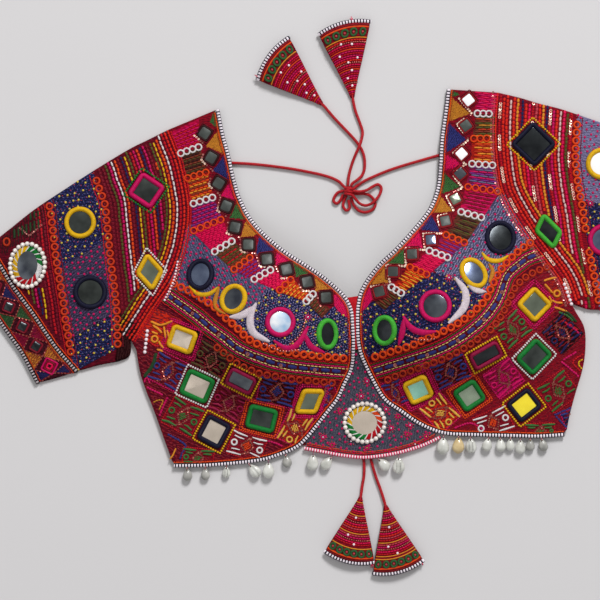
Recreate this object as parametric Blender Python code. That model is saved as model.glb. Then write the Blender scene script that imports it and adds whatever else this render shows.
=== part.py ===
"""Mirror-work choli blouse, laid out flat with its cups standing up.

Two domed front panels and a centre gusset lie over two flat back panels. Short sleeves
with cuff bands, corded pipings, cowrie shells on the hem, and red ties with cone tassels.

The tables are in millimetres on the cloth's plan: x to the right, y towards the
shoulders, z up from the surface. MM turns them into Blender's metres.
"""

import math

import bpy
from mathutils import Vector
from mathutils.geometry import delaunay_2d_cdt

MM = 0.001
GAP = 0.3                # between two pieces that meet
CLOTH = 2.0              # front and sleeve wall, embroidery included
LINING = 1.5             # back wall and the sleeve's under wall
BASE_TOP = 3.9           # outer side of the front wall where it lies flat
PIPING_HALF_WIDTH = 2.0
PIPING_HALF_HEIGHT = 1.8
PIPING_SINK = 0.6        # piping's centre below the cloth's outer side
PIPING_STEP = 8.0
SEAM_HALF = PIPING_HALF_WIDTH + GAP + 0.05
GRID = 12.0              # spacing of the points inside a panel
INNER_COARSER = 1.25     # the plain inner side's spacing over the outer side's
OUTLINE_STEP = 9.0
FOLD_ROUND = 3.0         # radius of a sleeve's folded edge
FOLD_RING = 1.3          # line of points that rounds the fold
FOLD_CLEAR = 5.5         # grid points keep this far from a fold
FOLD_Z = 1.9             # height of a folded edge's outermost line
SLEEVE_LOFT = 3.0        # how far a sleeve's upper wall rises over its lower one
LOFT_RUN = 30.0          # distance over which it rises from a fold
LOFT_END = 24.0          # and from an open end
INNER_STEP_UP = 0.2      # inner side of a fold over the under wall
RING_SECTIONS = 12
TIE_RADIUS = 1.5
TIE_STEP = 7.0

# Ring of piping round a cuff: where its top run, its turns and its under run lie.
RING = {
    "inset": 1.6, "past": 2.0, "top_z": 3.3, "top_half": 1.5, "side_z": 2.1, "side_half": 1.1,
    "under_z": 0.8, "under_half": 0.68,
}

# Cups: centre, height, and how far each dome reaches to each side.
CUPS = (
    {"x": -80.0, "y": -52.0, "high": 44.0, "left": 112.0, "right": 110.0, "up": 150.0, "down": 84.0},
    {"x": 92.0, "y": -42.0, "high": 44.0, "left": 110.0, "right": 122.0, "up": 150.0, "down": 84.0},
)

# Places where the front stands over a tie that runs out under it.
LIFTS = (
    {"x": 17.0, "y": -172.0, "wide": 30.0, "long": 26.0, "high": 2.2},
    {"x": -119.0, "y": 120.0, "wide": 15.0, "long": 17.0, "high": 2.2},
    {"x": 95.0, "y": 128.0, "wide": 15.0, "long": 17.0, "high": 2.2},
)

# Soft ridges in the cloth: from (x, y) to (to_x, to_y), half width and height.
FOLDS = (
    {"x": -206, "y": -40, "to_x": -158, "to_y": 22, "half_width": 9, "high": 2.4},
    {"x": -225, "y": -62, "to_x": -262, "to_y": -18, "half_width": 8, "high": 2.2},
    {"x": -298, "y": -30, "to_x": -240, "to_y": 40, "half_width": 14, "high": 1.6},
    {"x": -198, "y": -92, "to_x": -160, "to_y": -118, "half_width": 8, "high": 2.0},
    {"x": 220, "y": -34, "to_x": 172, "to_y": 30, "half_width": 10, "high": 2.4},
    {"x": 228, "y": -92, "to_x": 188, "to_y": -104, "half_width": 8, "high": 2.0},
    {"x": 236, "y": 0, "to_x": 288, "to_y": 62, "half_width": 13, "high": 1.8},
)

# Piping centre lines, from the shoulder down the neck, over the cup seam and along the hem.
FRONT_SEAM_LEFT = (
    (-130.5, 173), (-125.5, 148), (-119.5, 126), (-115, 105), (-109, 85), (-98, 64), (-83, 47),
    (-64, 31), (-43, 17.5), (-28, 7.5), (-15, -3), (-6, -11.5), (0, -20), (3.2, -29), (4.2, -42),
    (5, -62), (3.4, -84), (-4, -101), (-11, -116), (-21, -129), (-32, -143), (-42, -155),
    (-53, -164.5), (-74, -173), (-90, -177), (-116, -180), (-144, -182), (-174, -182.5),
)
FRONT_SEAM_RIGHT = (
    (100.5, 193.5), (98, 173), (94, 143), (92.5, 118), (90, 95), (82, 74), (67, 54.5), (48, 33.5),
    (33, 19.5), (22.5, 7), (15.5, -4), (11.5, -14), (9.4, -27), (9.2, -42), (9.8, -57),
    (12.5, -70), (18, -83), (27, -101), (37, -116.5), (53, -128), (69, -139), (86, -147),
    (101, -150.5), (124, -151.5), (162, -152.5), (191, -153), (216, -151.5),
)
GUSSET_HEM = (
    (-44, -165), (-23, -169), (-3, -172.5), (19, -174), (48, -170), (71, -163.5), (84, -158), (92, -154),
)
GUSSET_TOP = -68.0       # the seams touch above this

# Armhole seams, from the shoulder to the underarm.
ARMHOLE_LEFT = (
    (-182, 152), (-176, 137), (-169, 118), (-162, 83), (-162, 58), (-167, 31), (-178, 3),
    (-196, -24), (-217, -57),
)
ARMHOLE_RIGHT = (
    (151, 190), (149, 158), (150, 127), (155, 95), (165, 73), (178, 52), (198, 25), (214, 3),
    (223, -20),
)

# Side seams, from the underarm to the hem.
SIDE_LEFT = ((-211.5, -67), (-208, -88), (-202, -107), (-194, -127), (-184, -155), (-175, -180))
SIDE_RIGHT = ((227, -28), (236, -45), (237, -67), (234, -87), (228, -107), (222, -129), (218, -149))

# Back panels: neck edge from the shoulder to the centre back, then the hem to the side.
BACK_NECK_LEFT = (
    (-134, 172), (-129, 145), (-124, 120), (-118, 90), (-112, 60), (-100, 30), (-80, 0),
    (-55, -35), (-25, -75), (5, -105),
)
BACK_HEM_LEFT = ((5, -157), (-30, -159), (-60, -166), (-110, -174), (-172, -177))
BACK_NECK_RIGHT = (
    (104, 193), (100.5, 160), (98.5, 128), (97, 95), (91, 60), (80, 30), (60, -2), (40, -40),
    (22, -78), (9, -105),
)
BACK_HEM_RIGHT = ((9, -157), (40, -152), (80, -142), (120, -144), (215, -146))

# Sleeves: folded edges run from the armhole to the cuff's open end.
SLEEVE_LEFT = {
    "armhole": ARMHOLE_LEFT,
    "top": ((-182, 152), (-200, 143), (-220, 133), (-253, 113), (-284, 93), (-314, 73),
            (-338, 54), (-360, 37), (-385, 20)),
    "under": ((-217, -57), (-218, -72), (-228, -78), (-248, -82), (-271, -88.5), (-288, -94), (-310, -100)),
    "cuff_seam": ((-360, 37), (-348, 18), (-336.5, -1), (-325, -17), (-314, -32), (-302, -50),
                  (-290, -67), (-271, -88.5)),
    "cuff_edge": ((-385, 20), (-365, -12), (-348, -38), (-336, -55), (-325, -71), (-310, -100)),
}
SLEEVE_RIGHT = {
    "armhole": ARMHOLE_RIGHT,
    "top": ((151, 190), (172, 185), (192, 179), (212, 174), (242, 164), (280, 151), (318, 140),
            (351, 129), (384, 118)),
    "under": ((223, -20), (232, -24), (246, -27), (280, -25), (310, -21), (342, -17)),
    "cuff_seam": ((351, 129), (345, 104), (337, 74), (328, 41), (319, 9), (310, -21)),
    "cuff_edge": ((384, 118), (376, 88), (367, 58), (358, 30), (350, 4), (342, -17)),
}

# Framed mirrors: centre, half sizes to the frame's outside, turn and lean in degrees.
ROUND, SQUARE, PEARL = "round", "square", "pearl"
MIRROR_COLUMNS = ("kind", "x", "y", "half_width", "half_height", "turn", "lean")
MIRRORS = {
    "front_left": (
        (ROUND, -147, 8.4, 14, 16, -10, 0),
        (ROUND, -113.6, -16, 13.4, 15.4, -25, 0),
        (ROUND, -67.5, -38.8, 15, 15, 0, 0),
        (ROUND, -21, -50.7, 11, 15.7, 0, 0),
        (SQUARE, -165.3, -56.2, 13.8, 12.2, -20, 0),
        (SQUARE, -150.5, -103, 15.2, 14, -24, 0),
        (SQUARE, -106.6, -97, 14.5, 9.5, -27, 0),
        (SQUARE, -37.5, -117, 12.6, 12.4, 3, -10),
        (SQUARE, -86.4, -135.4, 14, 11.6, -14, 0),
        (SQUARE, -134, -148.5, 13.6, 14.2, -28, 0),
    ),
    "front_right": (
        (ROUND, 36, -47, 12, 15.3, 0, 0),
        (ROUND, 85.3, -22.9, 16.3, 16.3, 0, 0),
        (ROUND, 123.6, 9.7, 12.8, 16.5, 35, 0),
        (ROUND, 151.5, 45, 16, 17.2, 0, 0),
        (SQUARE, 185.4, -21.3, 13.6, 13.6, 45, 0),
        (SQUARE, 185.4, -73.5, 15.4, 12.9, 46, 0),
        (SQUARE, 136, -71.5, 16, 8.6, 29, 0),
        (SQUARE, 69.8, -106.3, 12.8, 12.6, 25, 0),
        (SQUARE, 121, -112.2, 13, 13, 34, 0),
        (SQUARE, 175.8, -122, 14.4, 12.8, 38, 0),
    ),
    "front_gusset": ((PEARL, 16, -139.4, 22.6, 21, 0, 0),),
    "sleeve_left": (
        (SQUARE, -201.3, 92.2, 14.4, 14, -34, 0),
        (SQUARE, -199.2, 12, 12.7, 12, -45, 0),
        (ROUND, -267.4, 60.3, 16, 16, 0, 0),
        (ROUND, -257.3, -9.3, 17, 17, 0, 0),
        (PEARL, -319.5, 18, 18.5, 21.7, -8, 0),
    ),
    "sleeve_right": (
        (SQUARE, 184.5, 140, 15.4, 15, -44, 0),
        (SQUARE, 200, 52, 13, 11, -40, 10),
        (ROUND, 253, 119, 16, 16, 0, 0),
        (ROUND, 255, 43, 16, 16, 0, 0),
        (PEARL, 309, 76, 18.5, 21.7, 8, 0),
    ),
}
# Frame section: (distance in from the frame's outside, height over the cloth).
FRAME_SECTION = {
    ROUND: ((0.0, 0.0), (0.9, 2.2), (3.6, 2.2), (4.4, 0.7)),
    SQUARE: ((0.0, 0.0), (0.8, 2.0), (3.2, 2.0), (3.9, 0.7)),
    PEARL: ((0.0, 0.0), (0.8, 2.8), (3.6, 2.8), (5.0, 1.2)),
}
FRAME_CORNER = 3.6       # corner radius of a square frame
ROUND_POINTS = 12
PEARL_POINTS = 16

# Cowries, along the hem: place, lean from straight down, length of thread, shell length.
COWRIE_COLUMNS = ("x", "lean", "thread", "long")
COWRIES = (
    (-161, 4, 0.5, 12.5), (-142.5, 0, 0.5, 12), (-121.5, 0, 0.5, 11), (-101, 40, 1.5, 14),
    (-79.5, 0, 3.0, 15), (-63, 12, 0.6, 12.5), (-34.5, -4, 3.0, 15), (-14, -38, 2.0, 14),
    (27.5, 45, 0.5, 13), (50.5, 0, 3.0, 15.5), (95.5, -4, 3.5, 16.5), (110.5, -2, 0.6, 15.5),
    (122, 4, 2.0, 14), (141, -12, 0.6, 13), (151.5, 6, 0.6, 13.5), (162, 0, 0.6, 11.5),
    (172, 0, 2.2, 14), (182, 0, 0.6, 11.5), (192.5, 14, 0.6, 12.5),
)
COWRIE_SECTION = ((0.0, 0.30), (0.15, 0.70), (0.4, 1.0), (0.7, 0.9), (0.95, 0.4))
COWRIE_ASPECT = 0.315    # half width over length
COWRIE_FLATNESS = 0.72   # height over width
COWRIE_CLEAR = 0.25      # over the surface
COWRIE_SIDES = 6
THREAD_RADIUS = 0.5

# Ties: routes by hand, (x, y, z) of the cord's centre.
TIES = {
    "tie_left": (
        (-123.2, 120.2, 1.6), (-116, 120, 1.6), (-98, 119, 1.55), (-78, 117, 1.55), (-55, 113.8, 1.55),
        (-38, 110.6, 1.55), (-27, 108.2, 1.55), (-17, 105.2, 1.55), (-9.5, 101.6, 1.8), (-6.0, 98.2, 2.4),
        (-3.5, 95.7, 3.0),
    ),
    "tie_right": (
        (97.9, 128.4, 1.6), (92, 127.8, 1.6), (74, 122.8, 1.55), (52, 116.3, 1.55), (36.6, 110.9, 1.55),
        (19.4, 103.4, 1.55), (11.5, 98.8, 1.6), (7.0, 95.4, 1.9), (4.8, 93.8, 2.5),
    ),
    "tie_tail_left": (
        (2.8, 97.1, 4.8), (4.8, 99.8, 4.7), (9.0, 102.8, 4.0), (13.8, 107.4, 2.0), (16.4, 114.3, 1.55),
        (16.4, 124, 1.55),
        (14.2, 132, 1.55), (10.6, 138, 1.55), (5.6, 144.4, 1.55), (-3, 153.5, 1.55), (-13, 164, 1.6),
        (-20.5, 172.6, 1.9), (-25.5, 178.25, 2.0),
    ),
    "tie_tail_right": (
        (-0.2, 97.4, 2.2), (1.0, 108, 1.55), (4.0, 119, 1.9), (7.6, 128.6, 3.8), (11.2, 136.6, 5.5),
        (13.6, 144, 4.0), (14.4, 151.5, 1.9), (11.4, 161, 1.55), (7.4, 172, 1.7), (4.75, 184.5, 2.0),
    ),
    "tie_loop_1": (
        (4.1, 89.4, 2.1), (11, 89.2, 1.55), (17, 89.2, 1.55), (22.3, 87.0, 1.55), (26.2, 82.6, 1.55),
        (27.2, 77.6, 1.55), (24, 73, 1.55), (17.2, 70.6, 1.55), (10.4, 72.6, 1.55), (5.8, 78, 1.55),
        (2.7, 85.8, 2.2),
    ),
    "tie_loop_2": (
        (5.0, 91.8, 5.5), (12, 91.2, 5.3), (18.6, 92.6, 5.2), (24.8, 96.4, 3.6), (30, 98.4, 1.9),
        (33.2, 95, 1.55), (32, 89.4, 2.9), (28.4, 83.8, 4.9), (23.6, 79.4, 4.7), (17.6, 77.4, 3.2),
        (11.8, 79.2, 3.9), (7.4, 83.8, 5.0), (3.7, 88.4, 5.6),
    ),
    "tie_loop_3": (
        (-4.5, 92.0, 2.8), (-10.0, 90.4, 1.6), (-13.6, 86, 1.55), (-14.4, 81.8, 1.55), (-11.4, 79.4, 1.55),
        (-8.4, 81.8, 1.6), (-6.4, 85.2, 1.8), (-4.8, 88.4, 2.2),
    ),
    "tie_loop_4": (
        (-1.6, 87.4, 2.7), (-4.2, 81.6, 1.6), (-4.8, 76.6, 1.55), (-2.0, 72.6, 1.55), (1.4, 74.4, 1.6),
        (1.2, 79.0, 1.7), (0.4, 83.0, 1.8),
    ),
    "hem_tie_left": (
        (3.2, -158.6, 1.6), (9.0, -165.0, 1.6), (14.2, -172.5, 1.55), (16.0, -180, 1.55), (16.0, -192, 1.55),
        (14.2, -203, 1.6), (12.7, -213.5, 2.0),
    ),
    "hem_tie_right": (
        (13.4, -157.9, 1.6), (18.4, -166, 1.6), (22.0, -173, 1.55), (23.8, -180, 1.55), (27.6, -193, 1.55),
        (33.0, -208, 1.6), (37.2, -222.15, 2.0),
    ),
}
KNOT = {"x": 0.2, "y": 92.4, "z": 4.1, "half_x": 4.3, "half_y": 5.2, "half_z": 4.0, "sides": 10, "rings": 6}

# Cone tassels: tip, and the two corners of the wide end.
LATKAN_COLUMNS = ("tip", "corner_a", "corner_b")
LATKANS = {
    "latkan_top_left": ((-26, 178.8), (-90, 203), (-59, 245)),
    "latkan_top_right": ((4.6, 185), (-29, 248), (22, 261)),
    "latkan_hem_left": ((12.6, -214), (26, -279), (-23, -268)),
    "latkan_hem_right": ((37.4, -222.6), (75, -277), (25, -290)),
}
LATKAN_TIP = 3.4         # width and thickness at the cord
LATKAN_THICK = 9.0
LATKAN_EDGE_DROP = 2.6   # the wide end's edge is this much thinner
LATKAN_BULGE = 5.0       # how far the wide end's arc stands out past its corners
LATKAN_SIDES = 14
LATKAN_SECTION = ((0.0, 0.075), (0.08, 0.13), (0.3, 0.34), (0.6, 0.64), (0.9, 0.93), (1.0, 1.0))

COLOURS = {
    "front": ((0.36, 0.02, 0.07), 0.75),
    "gusset": ((0.09, 0.11, 0.17), 0.8),
    "back": ((0.30, 0.02, 0.05), 0.8),
    "sleeve": ((0.33, 0.02, 0.06), 0.75),
    "cuff": ((0.06, 0.05, 0.14), 0.75),
    "piping": ((0.75, 0.73, 0.72), 0.6),
    "shell": ((0.78, 0.74, 0.62), 0.3),
    "tie": ((0.42, 0.01, 0.02), 0.6),
    "latkan": ((0.40, 0.02, 0.08), 0.75),
}


# --- plane curves -----------------------------------------------------------------------

def smooth(points, step):
    """Points at about this step along a smooth curve through the given ones."""
    fine = []
    for i in range(len(points) - 1):
        before = points[i - 1] if i else tuple(2 * a - b for a, b in zip(points[0], points[1]))
        after = points[i + 2] if i + 2 < len(points) else tuple(
            2 * a - b for a, b in zip(points[-1], points[-2]))
        for j in range(12):
            t = j / 12
            fine.append(tuple(
                0.5 * (2 * b + (c - a) * t + (2 * a - 5 * b + 4 * c - d) * t * t
                       + (3 * b - a - 3 * c + d) * t ** 3)
                for a, b, c, d in zip(before, points[i], points[i + 1], after)))
    fine.append(tuple(float(v) for v in points[-1]))
    return evenly(fine, step)


def length_of(line):
    return sum(math.dist(a, b) for a, b in zip(line, line[1:]))


def at_lengths(line, places):
    """Points of a polyline at these distances from its start."""
    found = []
    done = 0.0
    i = 0
    for place in places:
        while i < len(line) - 2 and done + math.dist(line[i], line[i + 1]) < place:
            done += math.dist(line[i], line[i + 1])
            i += 1
        part = (place - done) / max(math.dist(line[i], line[i + 1]), 1e-9)
        found.append(tuple(a + (b - a) * part for a, b in zip(line[i], line[i + 1])))
    return found


def evenly(line, step):
    whole = length_of(line)
    count = max(2, round(whole / step))
    return at_lengths(line, [whole * i / count for i in range(count + 1)])


def side_vectors(line):
    """At each point, the unit vector to the left of the line's run."""
    vectors = []
    for i in range(len(line)):
        a = line[max(i - 1, 0)]
        b = line[min(i + 1, len(line) - 1)]
        run = math.dist(a[:2], b[:2])
        vectors.append((-(b[1] - a[1]) / run, (b[0] - a[0]) / run))
    return vectors


def moved(line, left):
    return [(p[0] + n[0] * left, p[1] + n[1] * left) for p, n in zip(line, side_vectors(line))]


def area_of(loop):
    return 0.5 * sum(a[0] * b[1] - b[0] * a[1] for a, b in zip(loop, loop[1:] + loop[:1]))


def distance_to(point, line):
    """Distance from a point to a polyline."""
    best = 1e9
    for a, b in zip(line, line[1:]):
        run = ((b[0] - a[0]), (b[1] - a[1]))
        square = run[0] ** 2 + run[1] ** 2
        part = ((point[0] - a[0]) * run[0] + (point[1] - a[1]) * run[1]) / max(square, 1e-9)
        part = min(max(part, 0.0), 1.0)
        best = min(best, math.hypot(point[0] - a[0] - run[0] * part, point[1] - a[1] - run[1] * part))
    return best


def inside(point, loop):
    found = False
    for a, b in zip(loop, loop[1:] + loop[:1]):
        if (a[1] > point[1]) != (b[1] > point[1]):
            if point[0] < a[0] + (point[1] - a[1]) * (b[0] - a[0]) / (b[1] - a[1]):
                found = not found
    return found


def y_on(line, x):
    """Height of a line over x, where it runs along x."""
    for a, b in zip(line, line[1:]):
        if min(a[0], b[0]) <= x <= max(a[0], b[0]) and a[0] != b[0]:
            return a[1] + (x - a[0]) * (b[1] - a[1]) / (b[0] - a[0])
    return line[-1][1]


# --- the cloth's height -------------------------------------------------------------------

def eased(t):
    t = min(max(t, 0.0), 1.0)
    return t * t * (3 - 2 * t)


def cloth_top(x, y):
    """Outer side of the front cloth over a place of the plan."""
    high = BASE_TOP
    for cup in CUPS:
        across = (x - cup["x"]) / (cup["right"] if x > cup["x"] else cup["left"])
        along = (y - cup["y"]) / (cup["up"] if y > cup["y"] else cup["down"])
        left = 1 - across ** 2 - along ** 2
        if left > 0:
            high += cup["high"] * left ** 2
    for lift in LIFTS:
        reach = ((x - lift["x"]) / lift["wide"]) ** 4 + ((y - lift["y"]) / lift["long"]) ** 4
        high += lift["high"] * math.exp(-reach)
    for fold in FOLDS:
        run = (fold["to_x"] - fold["x"], fold["to_y"] - fold["y"])
        square = run[0] ** 2 + run[1] ** 2
        part = ((x - fold["x"]) * run[0] + (y - fold["y"]) * run[1]) / square
        if 0 < part < 1:
            off = ((x - fold["x"]) * run[1] - (y - fold["y"]) * run[0]) / math.sqrt(square)
            high += fold["high"] * math.sin(math.pi * part) ** 2 * math.exp(-(off / fold["half_width"]) ** 2)
    return high


def steepness(x, y, top=cloth_top):
    """Length of the slope over its plan length, so that a wall keeps its thickness."""
    run = 0.5
    slope_x = (top(x + run, y) - top(x - run, y)) / (2 * run)
    slope_y = (top(x, y + run) - top(x, y - run)) / (2 * run)
    return math.sqrt(1 + slope_x ** 2 + slope_y ** 2)


# --- meshes -----------------------------------------------------------------------------

def material(name):
    made = bpy.data.materials.get(name)
    if made is None:
        colour, rough = COLOURS[name]
        made = bpy.data.materials.new(name)
        made.use_nodes = True
        shader = made.node_tree.nodes["Principled BSDF"]
        shader.inputs["Base Color"].default_value = (*colour, 1)
        shader.inputs["Roughness"].default_value = rough
        shader.inputs["Metallic"].default_value = 0.0
        made.diffuse_color = (*colour, 1)
    return made


def add_mesh(name, points, faces, finish):
    mesh = bpy.data.meshes.new(name)
    mesh.from_pydata([(x * MM, y * MM, z * MM) for x, y, z in points], [], faces)
    turn_out(mesh)
    mesh.shade_smooth()
    mesh.set_sharp_from_angle(angle=math.radians(40))
    mesh.materials.append(material(finish))
    made = bpy.data.objects.new(name, mesh)
    bpy.context.scene.collection.objects.link(made)
    return made


def frame_loops(mirror):
    """A framed mirror's loops in the plan, each with its height over the cloth."""
    mirror = dict(zip(MIRROR_COLUMNS, mirror))
    turn = math.radians(mirror["turn"])
    lean = math.tan(math.radians(mirror["lean"]))
    loops = []
    for inward, high in FRAME_SECTION[mirror["kind"]]:
        wide = mirror["half_width"] - inward
        tall = mirror["half_height"] - inward
        if mirror["kind"] == SQUARE:
            corner = max(FRAME_CORNER - inward, 0.6)
            around = []
            for quarter in range(4):
                for part in (0.1, 0.9):
                    angle = math.pi / 2 * (quarter + part)
                    around.append((
                        (wide - corner) * (1 if quarter in (0, 3) else -1) + corner * math.cos(angle),
                        (tall - corner) * (1 if quarter < 2 else -1) + corner * math.sin(angle)))
        else:
            count = PEARL_POINTS if mirror["kind"] == PEARL else ROUND_POINTS
            around = [(wide * math.cos(math.tau * i / count), tall * math.sin(math.tau * i / count))
                      for i in range(count)]
        loops.append(([(
            mirror["x"] + (x + y * lean) * math.cos(turn) - y * math.sin(turn),
            mirror["y"] + (x + y * lean) * math.sin(turn) + y * math.cos(turn)) for x, y in around], high))
    return loops


def triangles(outline, loops, loose):
    """Triangles of a plan region, through its loops' edges and its loose points."""
    points = list(outline)
    edges = [(i, (i + 1) % len(outline)) for i in range(len(outline))]
    for loop in loops:
        first = len(points)
        points += loop
        edges += [(first + i, first + (i + 1) % len(loop)) for i in range(len(loop))]
    points += loose
    _, _, faces, origin, _, _ = delaunay_2d_cdt([Vector(p) for p in points], edges, [], 1, 1e-5)
    found = []
    for face in faces:
        a, b, c = (origin[i][0] for i in face)
        turn = ((points[b][0] - points[a][0]) * (points[c][1] - points[a][1])
                - (points[c][0] - points[a][0]) * (points[b][1] - points[a][1]))
        found.append((a, b, c) if turn > 0 else (a, c, b))
    return points, found


def grid_points(outline, step, frames=(), edge=None):
    """A plain grid inside a region, clear of its edge and of the frames on it."""
    border = outline + outline[:1]
    clear = step * 0.5 if edge is None else edge
    low_x, high_x = min(p[0] for p in outline), max(p[0] for p in outline)
    low_y, high_y = min(p[1] for p in outline), max(p[1] for p in outline)
    found = []
    for j in range(int((high_y - low_y) / step) + 1):
        for i in range(int((high_x - low_x) / step) + 1):
            point = (low_x + (i + 0.5 * (j % 2)) * step + 0.37, low_y + j * step + 0.53)
            if not inside(point, outline) or distance_to(point, border) < clear:
                continue
            if any(inside(point, loop) or distance_to(point, loop + loop[:1]) < 3 for loop in frames):
                continue
            found.append(point)
    return found


def anticlockwise(loop):
    return loop if area_of(loop) > 0 else loop[::-1]


def add_panel(name, outline, finish, mirrors=(), step=GRID):
    """A cloth wall over the plan: raised frames on its outer side, plain inside."""
    outline = anticlockwise(outline)
    frames = [loop for mirror in mirrors for loop in frame_loops(mirror)]
    outside = [loops[0][0] for loops in map(frame_loops, mirrors)]
    grid = grid_points(outline, step, outside)
    upper, upper_faces = triangles(outline, [loop for loop, _ in frames], grid)
    raised = [0.0] * len(outline) + [high for loop, high in frames for _ in loop] + [0.0] * len(grid)
    lower, lower_faces = triangles(outline, [], grid_points(outline, step * INNER_COARSER, edge=step * 0.5))
    points = [(x, y, cloth_top(x, y) + high) for (x, y), high in zip(upper, raised)]
    points += [(x, y, cloth_top(x, y) - CLOTH * steepness(x, y)) for x, y in lower]
    start = len(upper)
    faces = list(upper_faces)
    faces += [(start + a, start + c, start + b) for a, b, c in lower_faces]
    count = len(outline)
    for i in range(count):
        j = (i + 1) % count
        faces.append((i, start + i, start + j, j))
    return add_mesh(name, points, faces, finish)


def add_plate(name, outline, thickness, finish):
    """A flat panel that lies on the surface."""
    outline = anticlockwise(outline)
    plan, plan_faces = triangles(outline, [], [])
    count = len(plan)
    points = [(x, y, 0.0) for x, y in plan] + [(x, y, thickness) for x, y in plan]
    faces = [(a, c, b) for a, b, c in plan_faces]
    faces += [(count + a, count + b, count + c) for a, b, c in plan_faces]
    for i in range(count):
        j = (i + 1) % count
        faces.append((i, j, count + j, count + i))
    return add_mesh(name, points, faces, finish)


def end_places(whole, inset, step):
    """Distances along an end's curve, close together at its folds."""
    count = max(2, round((whole - 2 * inset) / step))
    middle = [inset + 3.0 + (whole - 2 * inset - 6.0) * i / count for i in range(count + 1)]
    return [inset, inset + 1.0] + middle + [whole - inset - 1.0, whole - inset]


def add_flat_tube(name, start, finish_end, top_edge, under_edge, finish, mirrors=()):
    """A tube of cloth laid flat. start and finish_end run from the top fold to the under one."""
    folds = (top_edge, under_edge)

    def outer_top(x, y):
        off = min(distance_to((x, y), fold) for fold in folds)
        ends = min(distance_to((x, y), start), distance_to((x, y), finish_end))
        loft = SLEEVE_LOFT * eased((off - FOLD_ROUND) / LOFT_RUN) * eased(ends / LOFT_END)
        flat = cloth_top(x, y) + loft
        part = 1 - min(off / FOLD_ROUND, 1.0)
        return FOLD_Z + (flat - FOLD_Z) * math.sqrt(1 - part ** 2)

    def outline_of(inset, places_a, places_b):
        first = at_lengths(start, places_a)
        last = at_lengths(finish_end, places_b)
        top = [first[0]] + top_edge[1:-1] + [last[0]]
        under = [first[-1]] + under_edge[1:-1] + [last[-1]]
        if inset:
            top = [first[0]] + moved_in(top_edge, inset)[1:-1] + [last[0]]
            under = [first[-1]] + moved_in(under_edge, inset)[1:-1] + [last[-1]]
        loop = first + under[1:-1] + last[::-1] + top[1:-1][::-1]
        return loop, len(first), len(under) - 2, len(last)

    def moved_in(edge, inset):
        middle = at_lengths(start, [length_of(start) / 2])[0]
        pushed = moved(edge, inset)
        if distance_to(middle, pushed) > distance_to(middle, edge):
            pushed = moved(edge, -inset)
        return pushed

    whole_a, whole_b = length_of(start), length_of(finish_end)
    outer, count_a, count_under, count_b = outline_of(
        0, end_places(whole_a, 0, GRID * 0.9), end_places(whole_b, 0, GRID * 0.9))
    inner, _, _, _ = outline_of(
        CLOTH, end_places(whole_a, CLOTH, GRID * 0.9), end_places(whole_b, CLOTH, GRID * 0.9))
    total = len(outer)
    first_b = count_a + count_under
    on_end = [i < count_a or first_b <= i < first_b + count_b for i in range(total)]
    corner = {0, count_a - 1, first_b, first_b + count_b - 1}
    shared = [not on_end[i] or i in corner for i in range(total)]

    frames = [loop for mirror in mirrors for loop in frame_loops(mirror)]
    outside = [loops[0][0] for loops in map(frame_loops, mirrors)]
    grid = grid_points(outer, GRID, outside, edge=FOLD_CLEAR)
    near = [p for edge in folds for p in moved_in(edge, FOLD_RING)[1:-1]]
    near = [p for p in near if inside(p, outer)]
    near = [p for p in near if min(distance_to(p, start), distance_to(p, finish_end)) > CLOTH]
    plain = grid_points(inner, GRID, edge=FOLD_CLEAR)

    points = []
    faces = []

    def add_sheet(outline, loops, loose, height, upward, rim):
        """One sheet; rim gives the indices of outline points that exist already."""
        plan, plan_faces = triangles(outline, loops, loose)
        index = []
        for i, (x, y) in enumerate(plan):
            if i in rim:
                index.append(rim[i])
            else:
                index.append(len(points))
                points.append((x, y, height(i, x, y)))
        for a, b, c in plan_faces:
            faces.append((index[a], index[b], index[c]) if upward else (index[a], index[c], index[b]))
        return index

    flip = area_of(outer) < 0
    order = list(range(total))[::-1] if flip else list(range(total))
    outer_loop = [outer[i] for i in order]
    inner_loop = [inner[i] for i in order]
    shared_loop = [shared[i] for i in order]
    end_loop = [on_end[i] for i in order]
    raised = [0.0] * total + [high for loop, high in frames for _ in loop] + [0.0] * (len(grid) + len(near))

    def top_height(i, x, y):
        if i < total and shared_loop[i]:
            return FOLD_Z
        return outer_top(x, y) + raised[i]

    top = add_sheet(outer_loop, [loop for loop, _ in frames], grid + near, top_height, True, {})
    rim = {i: top[i] for i in range(total) if shared_loop[i]}
    bottom = add_sheet(outer_loop, [], near, lambda i, x, y: 0.0, False, rim)
    inner_top = add_sheet(
        inner_loop, [], plain,
        lambda i, x, y: LINING + INNER_STEP_UP if i < total and shared_loop[i]
        else max(outer_top(x, y) - CLOTH * steepness(x, y, outer_top), LINING + 2 * INNER_STEP_UP),
        False, {})
    inner_rim = {i: inner_top[i] for i in range(total) if shared_loop[i]}
    inner_bottom = add_sheet(inner_loop, [], plain, lambda i, x, y: LINING, True, inner_rim)

    for i in range(total):
        j = (i + 1) % total
        if end_loop[i] and end_loop[j]:
            faces.append((top[i], inner_top[i], inner_top[j], top[j]))
            faces.append((bottom[i], bottom[j], inner_bottom[j], inner_bottom[i]))
    return add_mesh(name, points, faces, finish)


def add_sweep(name, sections, sides, finish, closed=False):
    """A cord of oval section. Each section: centre, across vector, up vector, half sizes."""
    points = []
    for centre, across, up, half_width, half_height in sections:
        for k in range(sides):
            angle = math.tau * k / sides
            wide = half_width * math.cos(angle)
            high = half_height * math.sin(angle)
            points.append(tuple(c + a * wide + u * high for c, a, u in zip(centre, across, up)))
    count = len(sections)
    faces = []
    for i in range(count if closed else count - 1):
        j = (i + 1) % count
        for k in range(sides):
            m = (k + 1) % sides
            faces.append((i * sides + k, i * sides + m, j * sides + m, j * sides + k))
    if not closed:
        faces.append(tuple(range(sides))[::-1])
        faces.append(tuple((count - 1) * sides + k for k in range(sides)))
    return add_mesh(name, points, faces, finish)


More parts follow.
